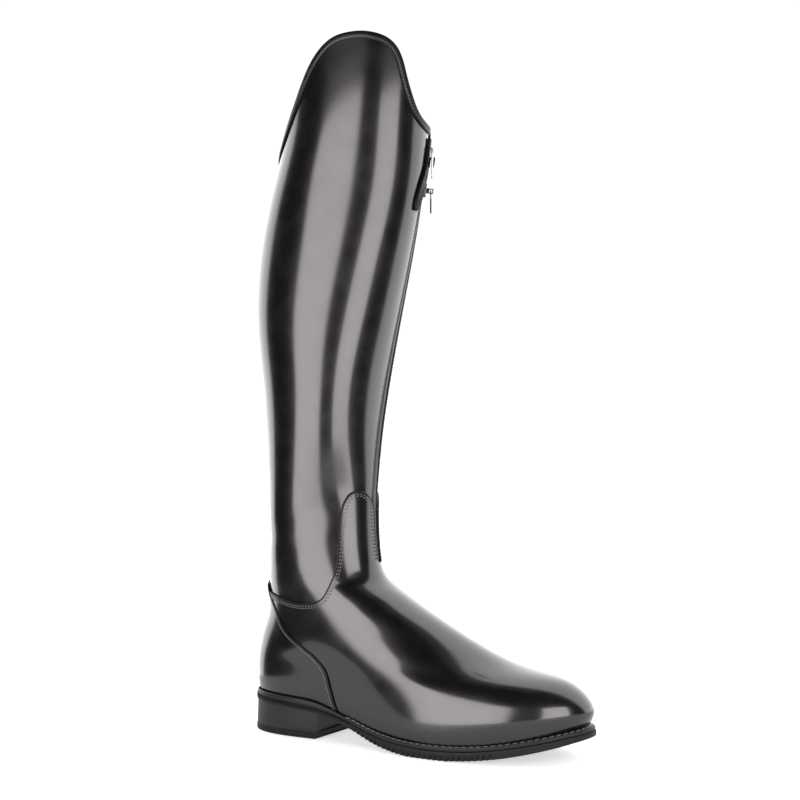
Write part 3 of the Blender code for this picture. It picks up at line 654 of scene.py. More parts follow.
def make_vamp(mats):
    top = smooth_line(vamp_top(VAMP_LATERAL), 6)
    slot = np.linspace(0, 1, 10)[1:-1]
    low = np.linspace(0.03, 5.8, 44)
    slot_share = (SLOT_ROW - 0.08 - low[-1]) / (top[0] - low[-1])
    shares = np.concatenate([np.linspace(0, slot_share, 22)[1:], np.linspace(slot_share, 1, 26)[1:]])
    sides = np.concatenate([VAMP_LATERAL[::-1], 0 * slot, VAMP_LATERAL])
    tops = np.concatenate([top[::-1], top[0] + 0 * slot, top])
    v = np.array([r + 0 * sides for r in low] + [low[-1] + (tops - low[-1]) * t for t in shares])
    count = len(VAMP_LATERAL)
    phi = np.radians(column_degrees(v, sides + 0 * v))
    far = np.radians(column_degrees(v, COLUMNS - sides + 0 * v))
    phi[:, :count] = far[:, :count] - 2 * np.pi
    edge_a, edge_b = phi[:, count - 1], phi[:, count + len(slot)]
    phi[:, count:count + len(slot)] = edge_a[:, None] + (edge_b - edge_a)[:, None] * slot
    active = np.ones((v.shape[0] - 1, v.shape[1] - 1), bool)
    active[len(low) + 20:, count - 1:count + len(slot)] = False
    shape = sheet(leather(v, phi, FACE + 0 * v), leather(v, phi, OVERLAY_GAP + 0 * v), active)
    piece("vamp_skin", shape, mats["vamp"], ["vamp"])
    rims, thread = [], []
    for mirror in (False, True):
        path = rim_path(top, mirror)
        turn = 1.0 if mirror else -1.0
        rims.append(edge_roll(*side_step(*path, turn * 0.55), 0.1, FACE + 0.35, 0.75))
        for inset in (2.3, 4.0):
            thread.append(stitches(*side_step(*path, turn * inset), FACE + 0.06))
    piece("vamp_edge", join(rims), mats["edge"])
    piece("vamp_stitches", join(thread), mats["thread"])


def counter_top(column):
    return COUNTER_TOP + COUNTER_ARCH * np.sin(np.pi * (column - SIDE_CELLS) / BACK_CELLS)


def make_counter(mats):
    column = SIDE_CELLS + np.concatenate([np.linspace(0.06, 0.5, 8), np.linspace(0.5, 11.5, 78)[1:-1],
                                          np.linspace(11.5, 11.94, 8)])
    shares = np.linspace(0, 1, 8)[1:]
    low = [r + 0 * column for r in np.linspace(0.03, 7.0, 90)]
    v = np.array(low + [7.0 + (counter_top(column) - 7.0) * t for t in shares])
    phi = np.radians(column_degrees(v, column + 0 * v))
    shape = sheet(leather(v, phi, FACE + 0.1 + 0 * v), leather(v, phi, OVERLAY_GAP + 0 * v))
    piece("counter_skin", shape, mats["counter"], ["heel_counter"])
    rims, thread = [], []
    up = np.linspace(0.03, COUNTER_TOP, 240)
    for side_column, turn in ((SIDE_CELLS + 0.06, 1.0), (SIDE_CELLS + 11.94, -1.0)):
        rows, phis = even(up, np.radians(column_degrees(up, side_column + 0 * up)), 1.0)
        path = smooth_line(rows, 6), smooth_line(phis, 6)
        rims.append(edge_roll(*side_step(*path, turn * 0.5), 0.2, FACE + EDGE_BEAD, 0.85))
        thread.append(stitches(*side_step(*path, turn * 2.5), FACE + 0.18, pitch=2.4))
    back = np.linspace(column[0], column[-1], 120)
    rows = counter_top(back)
    path = side_step(rows, np.radians(column_degrees(rows, back)), 0.5)
    rims.append(edge_roll(*path, 0.2, FACE + 0.3, 0.7))
    piece("counter_edge", join(rims), mats["edge"])
    piece("counter_stitches", join(thread), mats["thread"])


def collar_path():
    column = np.linspace(0, COLUMNS, 421)
    v = 15.9 + 0 * column
    for _ in range(14):
        v = collar_row(column_degrees(v, column)) - COLLAR_DROP
    return v, np.radians(column_degrees(v, column))


def make_binding(mats):
    v, phi = collar_path()
    edge = skin(v, phi, 0.0)
    n = skin_normal(v, phi)
    t = tangents(edge)
    up = np.cross(t, n)
    up = up * np.sign(up[:, 2:3])
    near = GAP + 0.15
    inner = -WALL - near
    mid, half = (near + inner) / 2, (near + 2 * BIND_THICK - inner) / 2
    crown = [(mid + half * np.cos(a), 0.5 + 1.1 * np.sin(a)) for a in np.linspace(0, np.pi, 9)]
    outside = [(near + 0.25, -BIND_DROP), (near + 0.75, -BIND_DROP + 0.12),
               (near + BIND_THICK, -BIND_DROP + 0.6)]
    inside = [(inner - BIND_THICK, -3.2), (inner - 0.6, -3.5), (inner, -3.5), (inner, 0.4),
              (near, 0.4), (near, -BIND_DROP)]
    loops = [edge + n * a + up * b for a, b in outside + crown + inside]
    piece("binding_strip", sweep(np.moveaxis(loops, 0, 1)), mats["edge"],
          ["collar_binding"])
    run = run_along(edge)
    marks = np.linspace(2, run[-1] - 2, int(run[-1] / 2.6))

    def at(values):
        return np.stack([np.interp(marks, run, values[:, k]) for k in range(3)], 1)

    p = at(edge + n * (near + BIND_THICK + 0.02) + up * -2.9)
    shape = beads(p, at(t), at(n), at(up), (0.95, 0.32, 0.26))
    piece("binding_stitches", shape, mats["thread"])


# Sole
SEAT_GAP = 0.35
BREAST_SKEW = 1.2


def lateral_edge():
    """Sole's lateral edge in fine steps from the toe: angles, plan and length along it."""
    fine = np.linspace(0, np.pi, 3001)
    xy, _ = feather_outline(fine, sole_margin(boot(0.0, fine)[..., 0]))
    return fine, xy, run_along(xy)


def sole_run(start_x, end_x, pitch):
    """Angles of the lateral edge at even steps between two places along the sole."""
    fine, xy, run = lateral_edge()
    a, b = np.interp(-start_x, -xy[:, 0], run), np.interp(-end_x, -xy[:, 0], run)
    marks = np.linspace(a, b, int(abs(b - a) / pitch) + 1)
    return np.interp(marks, run, fine)


def feather_loop(phi, offset, rise):
    """Closed loop round the feather, moved outward by offset and up by rise."""
    xy, x_ring = feather_outline(phi, offset)
    return np.concatenate([xy, (feather_z(x_ring) + rise)[:, None]], axis=1)


def ribs(grid, pitch, slant, sharp, level):
    """Soft ribs across the sole, from 0 between them to 1."""
    x, y = grid[..., 0], grid[..., 1]
    return np.clip(sharp * np.cos(2 * np.pi * (x + slant * np.abs(y)) / pitch) - level, 0, 1)


def make_outsole(mats):
    fine, xy, run = lateral_edge()
    marks = np.linspace(0, run[-1], 521)
    half = np.interp(marks, run, fine)
    x_edge = np.interp(marks, run, xy[:, 0])
    inside = np.clip((NOTCH_TO - x_edge) / 6, 0, 1) * np.clip((x_edge - NOTCH_FROM) / 6, 0, 1)
    wave = np.clip(1.6 * np.cos(2 * np.pi * marks / NOTCH_PITCH) + 0.1, 0, 1) * inside
    phi = np.concatenate([half, 2 * np.pi - half[-2:0:-1]])
    notch = np.concatenate([wave, wave[-2:0:-1]]) * NOTCH_DEEP
    over = WELT_THICK + SEAT_GAP + GAP
    # inset from the full edge and drop from the welt, then inset and height over the bottom
    upper = [(0.9, 0.0), (0.35, 0.05), (0.08, 0.35), (0.0, 0.9)]
    lower = [(0.0, NOTCH_TALL + 0.5), (notch * 0.35, NOTCH_TALL), (notch, NOTCH_TALL - 0.7),
             (notch, 1.2), (0.1 + notch, 0.4), (0.5 + notch, 0.0)]
    loops = [sole_loop(phi, inset, lambda x: feather_z(x) - over - drop) for inset, drop in upper]
    loops += [sole_loop(phi, inset, lambda x: bottom_z(x) + rise) for inset, rise in lower]

    def tread(grid):
        x = grid[..., 0]
        reach = np.clip((x - 95) / 6, 0, 1) * np.clip((222 - x) / 6, 0, 1)
        across = np.clip((1.0 - np.abs(np.linspace(-1, 1, grid.shape[1]))) / 0.16 - 0.35, 0, 1)
        out = grid.copy()
        out[..., 2] += 0.9 * ribs(grid, 7.0, 0.35, 2.2, 0.6) * reach * across[None]
        return out

    piece("outsole_rubber", plate(loops, tread), mats["sole"], ["outsole"])


def make_welt(mats):
    phi = np.linspace(0, 2 * np.pi, 481)[:-1]
    x_ring = boot(0.0, phi)[..., 0]
    fade = np.clip((x_ring - 22) / 40, 0, 1)
    lip = HEEL_LIP * (1 - fade ** 2 * (3 - 2 * fade))
    edge = sole_margin(x_ring) - WELT_STEP
    share = lip / HEEL_LIP
    back = 1.4 * (1 - share)
    under = -SEAT_GAP - WELT_THICK
    profile = [
        # outward from the feather, up from it
        (-WELT_FLANGE, under),
        (edge - 0.4, under),
        (edge - 0.1, under + 0.15),
        (edge, under + 0.45),
        (edge - 0.02, -1.5),
        (edge + 0.25 * share, -1.0 + 0.55 * lip),
        (edge + 0.16 * share - 0.12, -0.62 + 0.85 * lip),
        (edge - 0.34, -0.42 + 0.97 * lip),
        (edge - 0.8, -SEAT_GAP + lip),
        (4.2 - back, -SEAT_GAP + lip),
        (3.75 - back, -0.45 + 0.95 * lip),
        (3.45 - back, -0.45 + 0.75 * lip),
        (3.3 - back, -SEAT_GAP + 0.25 * lip),
        (-WELT_FLANGE, -SEAT_GAP),
    ]
    loops = [feather_loop(phi, offset, rise) for offset, rise in profile]
    shape = sweep(np.moveaxis(loops, 0, 1), closed=True)
    piece("welt_strip", shape, mats["welt"], ["welt"])
    parts = []
    for mirror in (1, -1):
        run = sole_run(300, 63, 5.4)
        run = run if mirror > 0 else 2 * np.pi - run[1:]
        p = feather_loop(run, 0.52 * sole_margin(boot(0.0, run)[..., 0]) + 0.55, -0.1)
        t = tangents(p)
        out = unit(np.array([0, 0, 1.0]) - t * t[:, 2:3])
        parts.append(beads(p, t, out, np.cross(out, t), (2.45, 0.8, 0.62), turn=0.22 * mirror))
    piece("welt_stitches", join(parts), mats["cord"])


def heel_ring(inset, height, breast_x):
    """Fine loop of the heel: the sole's outline behind the breast line, and the breast across."""
    def plan_at(phi):
        return feather_outline(phi, sole_margin(boot(0.0, phi)[..., 0]) - inset)

    fine = np.linspace(0.4 * np.pi, np.pi, 1501)
    corners = []
    for around, x in ((fine, breast_x - BREAST_SKEW), (2 * np.pi - fine, breast_x + BREAST_SKEW)):
        xy, _ = plan_at(around)
        corners.append(np.interp(-x, -xy[:, 0], around))
    xy, x_ring = plan_at(np.linspace(*corners, 161))
    share = np.linspace(0, 1, 41)[1:-1]
    hollow = BREAST_HOLLOW * 4 * share * (1 - share)
    across = xy[-1] + (xy[0] - xy[-1]) * share[:, None] - np.stack([hollow, 0 * hollow], -1)
    x_across = x_ring[-1] + (x_ring[0] - x_ring[-1]) * share - hollow
    z = height(np.concatenate([x_ring, x_across]))
    # the middle of the breast comes first, so that the sides pair up
    return np.roll(np.column_stack([np.concatenate([xy, across]), z]), 20, axis=0)


def make_heel(mats):
    top = BREAST_X + BREAST_SLOPE

    def under_sole(drop):
        return lambda x: bottom_z(x) - drop

    def level(z):
        return lambda x: 0 * x + z

    stack = [
        (1.2, under_sole(0.15), top),
        (0.95, under_sole(0.3), top),
        (0.85, under_sole(0.7), top),
        (0.85, under_sole(1.6), top - 0.1),
        (0.5, level(9.0), BREAST_X + 0.9),
        (0.3, level(TOP_LIFT + 0.45), BREAST_X + 0.4),
        (0.5, level(TOP_LIFT + 0.1), BREAST_X + 0.3),
    ]
    shape = plate([heel_ring(*row) for row in stack])
    piece("heel_stack", shape, mats["heel"], ["heel_block"])
    lift = [
        (0.4, level(TOP_LIFT), BREAST_X + 0.3),
        (0.1, level(TOP_LIFT - 0.3), BREAST_X + 0.4),
        (0.0, level(1.0), BREAST_X),
        (0.15, level(0.35), BREAST_X - 0.1),
        (0.5, level(0.0), BREAST_X - 0.4),
    ]

    def pads(grid):
        x, y = grid[..., 0], grid[..., 1]
        reach = np.clip((x + 32) / 5, 0, 1) * np.clip((24 - x) / 5, 0, 1)
        reach = reach * np.clip((24 - np.abs(y)) / 4, 0, 1)
        out = grid.copy()
        out[..., 2] += 0.8 * ribs(grid, 6.0, 0.3, 2.4, 0.8) * reach
        return out

    shape = plate([heel_ring(*row) for row in lift], pads)
    piece("heel_lift", shape, mats["lift"], ["heel_top_lift"])


def make_insole(mats):
    phi = np.linspace(0, 2 * np.pi, 361)[:-1]
    profile = [(0.4, 0.3), (0.0, 0.7), (0.0, INSOLE_THICK - 0.9), (0.25, INSOLE_THICK - 0.3),
               (0.9, INSOLE_THICK)]
    loops = [feather_loop(phi, -INSOLE_INSET - inset, rise) for inset, rise in profile]
    piece("insole_board", plate(loops), mats["insole"], ["insole"])


# Zip
TEETH_PITCH = 1.45


def zip_line(v):
    """Points on the zip's middle, with the directions along it, outward and to its side."""
    mid = np.radians(zip_degrees(v))
    p, n = boot(v, mid), skin_normal(v, mid)
    t = tangents(p)
    return p, t, n, np.cross(t, n)


def even_rows(start, stop, pitch):
    """Section rows at even steps along the zip."""
    v = np.linspace(start, stop, 900)
    run = run_along(boot(v, np.radians(zip_degrees(v))))
    return np.interp(np.arange(0, run[-1], pitch), run, v)


def beside_zip(v, step):
    """Angle of the line that lies step millimetres beside the zip's middle."""
    mid = np.radians(zip_degrees(v))
    return mid + step / radius_at(v, mid)


def make_zip(mats):
    v = even_rows(7.7, 15.72, 2.0)[:, None]
    across = np.linspace(-1, 1, 27)[None, :]
    phi = beside_zip(v, TAPE_HALF * across)
    tape = -WALL - GAP - 0.15
    v = v + 0 * phi
    shape = sheet(skin(v, phi, tape), skin(v, phi, tape - TAPE_THICK))
    piece("zip_cloth", shape, mats["tape"], ["zip_tape"])
    p, t, n, side = zip_line(even_rows(8.1, 15.68, TEETH_PITCH))
    parts = []
    for turn, shift in ((1.0, 0.0), (-1.0, 0.5)):
        centre = p + t * shift * TEETH_PITCH + side * turn * 1.15 + n * (CHAIN_TOP - 0.75)
        parts.append(beads(centre, side * turn, n, t, (1.85, 0.62, 0.85), turn=0.30))
    for turn in (1.0, -1.0):
        loops = []
        for a in np.linspace(0, 2 * np.pi, 9)[:-1]:
            out = side * (turn * 2.5 + 0.55 * np.cos(a)) + n * (CHAIN_TOP - 1.0 + 0.6 * np.sin(a))
            loops.append(p + out)
        parts.append(sweep(np.moveaxis(loops, 0, 1)))
    piece("zip_coil", join(parts), mats["teeth"], ["zip_chain"])
    v = np.linspace(8.15, 15.6, 300)
    v = v[v > vamp_top(np.zeros(1))[0] + 0.05]
    thread = [stitches(v, beside_zip(v, turn * (SLOT_HALF + 1.9)), 0.06) for turn in (1.0, -1.0)]
    piece("zip_stitches", join(thread), mats["thread"])
    v = even_rows(8.06, 15.66, 1.2)
    lips = [edge_roll(v, beside_zip(v, turn * (SLOT_HALF + 0.45)), -1.0, 0.5, 0.62)
            for turn in (1.0, -1.0)]
    piece("zip_edges", join(lips), mats["edge"])


def local(basis, points):
    """Points given to the side, up and outward of a place on the boot."""
    p, n, up, side = basis
    points = np.asarray(points, float)
    return p + points[..., 0:1] * side + points[..., 1:2] * up + points[..., 2:3] * n


def bevel(obj, width):
    mod = obj.modifiers.new("edges", "BEVEL")
    mod.width = width * MM
    mod.segments = 3
    mod.limit_method = "ANGLE"
    mod.angle_limit = np.radians(40)
    mod.harden_normals = False


def window_plate(basis, xs, ys, half):
    """Plate over the grid lines xs and ys, half to each side, with its second cell up left open."""
    gx, gy = np.meshgrid(xs, ys)
    outer = local(basis, np.stack([gx, gy, 0 * gx + half], -1))
    inner = local(basis, np.stack([gx, gy, 0 * gx - half], -1))
    active = np.ones((len(ys) - 1, len(xs) - 1), bool)
    active[1, 1] = False
    return sheet(outer, inner, active)


def prism(basis, outline, levels):
    """Body through an outline at levels of outward distance and scale."""
    loops = []
    for out, scale in levels:
        loops.append(local(basis, [(x * scale, y * scale, out) for x, y in outline]))
    return sweep(loops)


def rod(points, radius):
    """Round rod through points, with its ends closed."""
    points = np.asarray(points, float)
    t = tangents(points)
    a = unit(np.cross(t, np.array([0.31, 0.77, 0.55])))
    b = np.cross(t, a)
    turn = np.linspace(0, 2 * np.pi, 11)[:-1]
    ring = a[:, None] * np.cos(turn)[None, :, None] + b[:, None] * np.sin(turn)[None, :, None]
    return sweep(points[:, None] + radius * ring)


SLIDER_OUTLINE = [
    (-4.2, -4.4), (-3.0, -6.0), (3.0, -6.0), (4.2, -4.4), (4.3, 3.4), (2.5, 6.0), (-2.5, 6.0),
    (-4.3, 3.4),
]
BLADE_OUTLINE = [
    (-1.3, -6.0), (-1.3, -11.2), (-0.75, -12.0), (-1.7, -13.2), (-2.0, -16.6), (-1.2, -17.9),
    (1.2, -17.9), (2.0, -16.6), (1.7, -13.2), (0.75, -12.0), (1.3, -11.2), (1.3, -6.0),
]


def make_slider(mats):
    basis = zip_frame(SLIDER_ROW)
    p, n, up, side = basis
    shape = prism(basis, SLIDER_OUTLINE, [(0.1, 1.0), (2.2, 1.0), (3.0, 0.84)])
    body = piece("slider_body", shape, mats["slider"], ["zip_slider"], angle=30)
    bevel(body, 0.35)
    heights = [2.4, PIVOT_OUT - 1.15, PIVOT_OUT + 1.15, PIVOT_OUT + 2.1]
    shape = window_plate((p, side, n, up), [-2.1, -1.15, 1.15, 2.1], heights, 0.7)
    bevel(piece("slider_lug", shape, mats["slider"]), 0.25)
    # the tab hangs straight down from its pivot
    out = unit(n - np.array([0, 0, n[2]]))
    down = (p + n * PIVOT_OUT, out, np.array([0.0, 0.0, 1.0]), np.cross([0.0, 0.0, 1.0], out))
    shape = window_plate(down, [-2.15, -1.2, 1.2, 2.15], [-6.2, -3.4, -0.45, 0.45], 0.45)
    eye = piece("pull_eye", shape, mats["tab"], ["zip_pull_tab"], body="pull_tab")
    bevel(eye, 0.25)
    shape = prism(down, BLADE_OUTLINE, [(-0.62, 1.0), (0.62, 1.0)])
    bevel(piece("pull_blade", shape, mats["tab"], body="pull_tab"), 0.2)


# Strap and buckle at the top of the zip
STRAP_PATH = [
    # row, degrees from the front, half width
    (15.74, -19.0, 7.5),
    (15.58, -18.5, 7.5),
    (15.38, -16.5, 7.0),
    (15.20, -12.5, 6.2),
    (15.06, -8.5, 5.6),
    (14.92, -5.6, 5.2),
    (14.78, -3.4, 4.8),
    (14.66, -1.6, 3.6),
    (14.56, -0.2, 1.0),
]
STRAP_THICK = 2.3
STRAP_EDGE = [(-1.0, 0.35), (-0.97, 0.75), (-0.88, 0.97), (-0.6, 1.0), (0.0, 1.0), (0.6, 1.0),
              (0.88, 0.97), (0.97, 0.75), (1.0, 0.35)]
BUCKLE_ROW = 15.42
BUCKLE_HALF = 6.3
BUCKLE_TOP = 9.3
BUCKLE_LOW = -14.3
BUCKLE_CORNER = 2.0
KEEPER_LOOP = [
    # up, outward
    (-5.5, 2.35), (1.6, 2.35), (2.3, 3.1), (2.3, 6.2), (1.6, 6.9), (-5.5, 6.4),
    (-5.5, 5.6), (1.0, 6.0), (1.3, 5.8), (1.3, 3.5), (1.0, 3.2), (-5.5, 3.2),
]


def buckle_height(y):
    return 4.6 - 0.10 * y


def buckle_line():
    """Middle of the buckle's frame, a rounded rectangle: side, up and outward."""
    ring = []
    high, low, wide = BUCKLE_TOP - BUCKLE_CORNER, BUCKLE_LOW + BUCKLE_CORNER, BUCKLE_HALF - BUCKLE_CORNER
    for cx, cy, start in ((wide, high, 0), (-wide, high, 90), (-wide, low, 180), (wide, low, 270)):
        for a in np.radians(np.linspace(start, start + 90, 7)):
            x, y = cx + BUCKLE_CORNER * np.cos(a), cy + BUCKLE_CORNER * np.sin(a)
            ring.append((x, y, buckle_height(y)))
    return ring


def make_strap(mats):
    count = len(STRAP_PATH)
    table = natural_spline(range(count), STRAP_PATH)(np.linspace(0, count - 1, 61))
    v, mid, half = table[:, 0], np.radians(table[:, 1]), np.maximum(table[:, 2], 0.8)
    across, out = np.array(STRAP_EDGE).T
    vv = v[:, None] + 0 * across
    phi = mid[:, None] + half[:, None] * across / radius_at(vv, mid[:, None] + 0 * vv)
    shape = sheet(skin(vv, phi, GAP + STRAP_THICK * out), skin(vv, phi, GAP + 0 * out))
    piece("strap_leather_tail", shape, mats["strap"], ["closure_strap"])
    thread = []
    sewn = slice(6, 50)
    for turn in (1.0, -1.0):
        a = mid + turn * (half - 1.5) / radius_at(v, mid)
        thread.append(stitches(v[sewn], a[sewn], GAP + STRAP_THICK + 0.04, 2.2, (0.8, 0.28, 0.22)))
    piece("strap_stitches", join(thread), mats["thread"])
    basis = zip_frame(BUCKLE_ROW)
    ring = local(basis, buckle_line())
    steps = np.linspace(0, 1, 4)[:-1, None]
    fine = np.concatenate([a + (b - a) * steps for a, b in zip(ring, np.roll(ring, -1, 0))])
    t = unit(np.roll(fine, -1, 0) - np.roll(fine, 1, 0))
    n = basis[1] + 0 * t
    side = np.cross(n, t)
    turn = np.linspace(0, 2 * np.pi, 13)[:-1]
    loops = fine[:, None] + side[:, None] * np.cos(turn)[None, :, None]
    loops = loops + n[:, None] * (0.85 * np.sin(turn))[None, :, None]
    bar = [(x, 0.0, buckle_height(0.0)) for x in np.linspace(-BUCKLE_HALF, BUCKLE_HALF, 8)]
    prong = [(0.0, y, buckle_height(y) + 0.95 - 0.9 * max(0, -y - 11) / 3)
             for y in np.linspace(0.4, -14.0, 12)]
    shape = join([sweep(loops, closed=True), rod(local(basis, bar), 0.7), rod(local(basis, prong), 0.55)])
    piece("buckle_ring", shape, mats["silver"], ["buckle_frame"], angle=50)
    n, t, side = n[::2], t[::2], side[::2]
    shape = beads(fine[::2] + n * 0.85, t, n, side, (0.5, 0.45, 0.35))
    piece("buckle_beads", shape, mats["silver"], angle=0)
    loops = [local(basis, [(x, up, out) for up, out in KEEPER_LOOP]) for x in (-4.5, 4.5)]
    keeper = piece("keeper_leather", sweep(loops), mats["strap"], ["strap_keeper"])
    bevel(keeper, 0.25)


# Materials
BLACK = (0.0020, 0.0019, 0.0021)


def node(tree, kind, values=(), links=(), **settings):
    """New node with its settings, the values of its inputs and the outputs linked into them."""
    made = tree.nodes.new("ShaderNode" + kind)
    for name, value in settings.items():
        setattr(made, name, value)
    for socket, value in dict(values).items():
        made.inputs[socket].default_value = value
    for socket, source in dict(links).items():
        tree.links.new(source, made.inputs[socket])
    return made


def shader(name, colour, roughness, metallic=0.0, coat=0.0, coat_roughness=0.05):
    mat = bpy.data.materials.new(name)
    mat.use_nodes = True
    bsdf = mat.node_tree.nodes["Principled BSDF"]
    bsdf.inputs["Base Color"].default_value = (*colour, 1.0)
    bsdf.inputs["Roughness"].default_value = roughness
    bsdf.inputs["Metallic"].default_value = metallic
    bsdf.inputs["Coat Weight"].default_value = coat
    bsdf.inputs["Coat Roughness"].default_value = coat_roughness
    bsdf.inputs["IOR"].default_value = 1.5
    return mat, mat.node_tree, bsdf


def noise(tree, size, detail=2.0, stretch=None):
    """Noise over the object with features of about size millimetres."""
    place = node(tree, "TexCoord").outputs["Object"]
    if stretch is not None:
        place = node(tree, "Mapping", {"Scale": stretch}, {"Vector": place}).outputs["Vector"]
    values = {"Scale": 1.0 / (size * MM), "Detail": detail}
    return node(tree, "TexNoise", values, {"Vector": place}).outputs["Fac"]


def bump(tree, height, distance, strength, before=None):
    """Bump of the given height in millimetres, over an earlier bump if there is one."""
    links = {"Height": height}
    if before is not None:
        links["Normal"] = before
    return node(tree, "Bump", {"Distance": distance * MM, "Strength": strength}, links).outputs["Normal"]


def spread(tree, value, low, high):
    """The noise's middle range mapped to low and high."""
    values = {"From Min": 0.3, "From Max": 0.7, "To Min": low, "To Max": high}
    return node(tree, "MapRange", values, {"Value": value}).outputs["Result"]


def polished_leather(name, roughness, wave=0.20):
    """Black leather under a clear polish: fine pores and slow waves under the gloss."""
    mat, tree, bsdf = shader(name, BLACK, roughness, coat=1.0, coat_roughness=0.10)
    slow = bump(tree, noise(tree, 55.0, 0.0, (1.0, 1.0, 0.35)), wave, 1.0)
    mid = bump(tree, noise(tree, 11.0, 0.0), 0.012, 1.0, slow)
    fine = bump(tree, noise(tree, 0.8, 1.0), 0.004, 0.15, mid)
    gloss = spread(tree, noise(tree, 14.0, 0.0), roughness - 0.02, roughness + 0.03)
    tree.links.new(fine, bsdf.inputs["Normal"])
    tree.links.new(slow, bsdf.inputs["Coat Normal"])
    tree.links.new(gloss, bsdf.inputs["Roughness"])
    return mat


def plain_stuff(name, base, roughness, size, depth, metallic=0.0, coat=0.0, shine=0.5):
    """Stuff with a grain of the given size and depth in millimetres and uneven gloss."""
    mat, tree, bsdf = shader(name, base, roughness, metallic, coat, 0.1)
    bsdf.inputs["Specular IOR Level"].default_value = shine
    gloss = spread(tree, noise(tree, size * 8, 3.0), roughness - 0.05, roughness + 0.05)
    tree.links.new(bump(tree, noise(tree, size, 3.0), depth, 0.5), bsdf.inputs["Normal"])
    tree.links.new(gloss, bsdf.inputs["Roughness"])
    return mat


def make_materials():
    dark = {
        # key: name, colour, roughness, grain size, grain depth, other values
        "edge": ("edge_leather", BLACK, 0.36, 0.9, 0.03, {"shine": 0.30}),
        # thread: the thread's own dark grey, lightened further as a painted highlight so that the stitch
        # rows read as light dots
        "thread": ("waxed_thread", (0.070, 0.070, 0.072), 0.32, 0.5, 0.03, {"coat": 0.5}),
        "cord": ("welt_thread", (0.075, 0.075, 0.078), 0.42, 0.5, 0.05, {"coat": 0.3}),
        "strap": ("strap_leather", BLACK, 0.46, 0.9, 0.05, {"shine": 0.14}),
        "lining": ("lining_leather", (0.018, 0.018, 0.019), 0.62, 0.9, 0.05, {}),
        "insole": ("insole_cover", (0.020, 0.019, 0.018), 0.65, 0.9, 0.05, {}),
        "sole": ("sole_rubber", (0.008, 0.008, 0.0085), 0.50, 0.8, 0.05, {"shine": 0.22}),
        "welt": ("welt_rubber", (0.009, 0.009, 0.0095), 0.38, 0.8, 0.04, {"shine": 0.32}),
        "heel": ("heel_rubber", (0.013, 0.013, 0.0135), 0.46, 0.8, 0.05, {"shine": 0.30}),
        "lift": ("lift_rubber", (0.006, 0.006, 0.0065), 0.55, 0.8, 0.06, {"shine": 0.20}),
        "tape": ("zip_cloth", (0.014, 0.014, 0.015), 0.78, 0.6, 0.12, {}),
        "teeth": ("zip_coil", (0.022, 0.022, 0.023), 0.34, 0.6, 0.03, {"coat": 0.4}),
        "slider": ("slider_lacquer", (0.020, 0.020, 0.021), 0.24, 0.9, 0.02, {"coat": 0.8}),
        "tab": ("tab_lacquer", (0.012, 0.012, 0.013), 0.28, 0.9, 0.02, {"metallic": 0.2, "coat": 0.3}),
        "silver": ("bright_silver", (0.62, 0.61, 0.60), 0.22, 0.9, 0.02, {"metallic": 1.0}),
    }
    mats = {key: plain_stuff(*row[:5], **row[5]) for key, row in dark.items()}
    mats["shaft"] = polished_leather("shaft_polish", 0.26)
    mats["vamp"] = polished_leather("vamp_polish", 0.24, wave=0.14)
    mats["counter"] = polished_leather("counter_polish", 0.25, wave=0.10)
    return mats


# Stage, light and camera
CAMERA_AT = (688.8, -1080.3, 265.0)
CAMERA_AZIMUTH = 30.2
LENS = 69.75
SHIFT = (0.0415, 0.0085)
WHITE = 1.05
BACKDROP = 1.9
DIM = 0.025
BACKDROP_TURN = 18
BACKDROP_LEAN = 0.25

SOFTBOXES = [
    # name, azimuth from the camera's direction, bottom z, top z, width
    ("left_box", -35, -500, 735, 1090),
    ("right_box", 28, -500, 665, 680),
]
BOX_DISTANCE = 1050
BOX_RADIANCE = 4.7
BOX_COLOUR = (1.0, 0.94, 0.99)
EDGE_FADE = 0.16
END_FADE = 0.06


def side_point(azimuth, distance, z):
    """Point round the boot, by its angle from the camera's direction."""
    turn = np.radians(CAMERA_AZIMUTH)
    back = np.array([np.sin(turn), -np.cos(turn), 0.0])
    right = np.array([-back[1], back[0], 0.0])
    a = np.radians(azimuth)
    spot = np.array([45.0, 0.0, 0.0]) + (back * np.cos(a) + right * np.sin(a)) * distance
    return spot + np.array([0, 0, z])


def fade_edges(data):
    """Soft borders for a light panel, with their own width at its top and bottom."""
    data.use_nodes = True
    tree = data.node_tree
    place = node(tree, "NewGeometry").outputs["Parametric"]
    split = node(tree, "SeparateXYZ", links={"Vector": place})
    fades = []
    for axis, width in (("X", EDGE_FADE), ("Y", END_FADE)):
        for start, stop in ((0.0, width), (1.0, 1.0 - width)):
            fades.append(node(tree, "MapRange", {"From Min": start, "From Max": stop},
                              {"Value": split.outputs[axis]}, interpolation_type="SMOOTHSTEP"))
    total = fades[0].outputs["Result"]
    for fade in fades[1:]:
        links = {0: total, 1: fade.outputs["Result"]}
        total = node(tree, "Math", links=links, operation="MULTIPLY").outputs["Value"]
    tree.links.new(total, tree.nodes["Emission"].inputs["Strength"])


def area_light(name, spot, aim, width, height, radiance):
    data = bpy.data.lights.new(name, "AREA")
    data.shape = "RECTANGLE"
    data.size = width * MM
    data.size_y = height * MM
    data.color = BOX_COLOUR
    data.energy = radiance * np.pi * data.size * data.size_y
    lamp = bpy.data.objects.new(name, data)
    lamp.location = Vector(spot) * MM
    lamp.rotation_euler = (Vector(aim) - Vector(spot)).to_track_quat("-Z", "Y").to_euler()
    lamp.visible_camera = False
    fade_edges(data)
    bpy.context.scene.collection.objects.link(lamp)


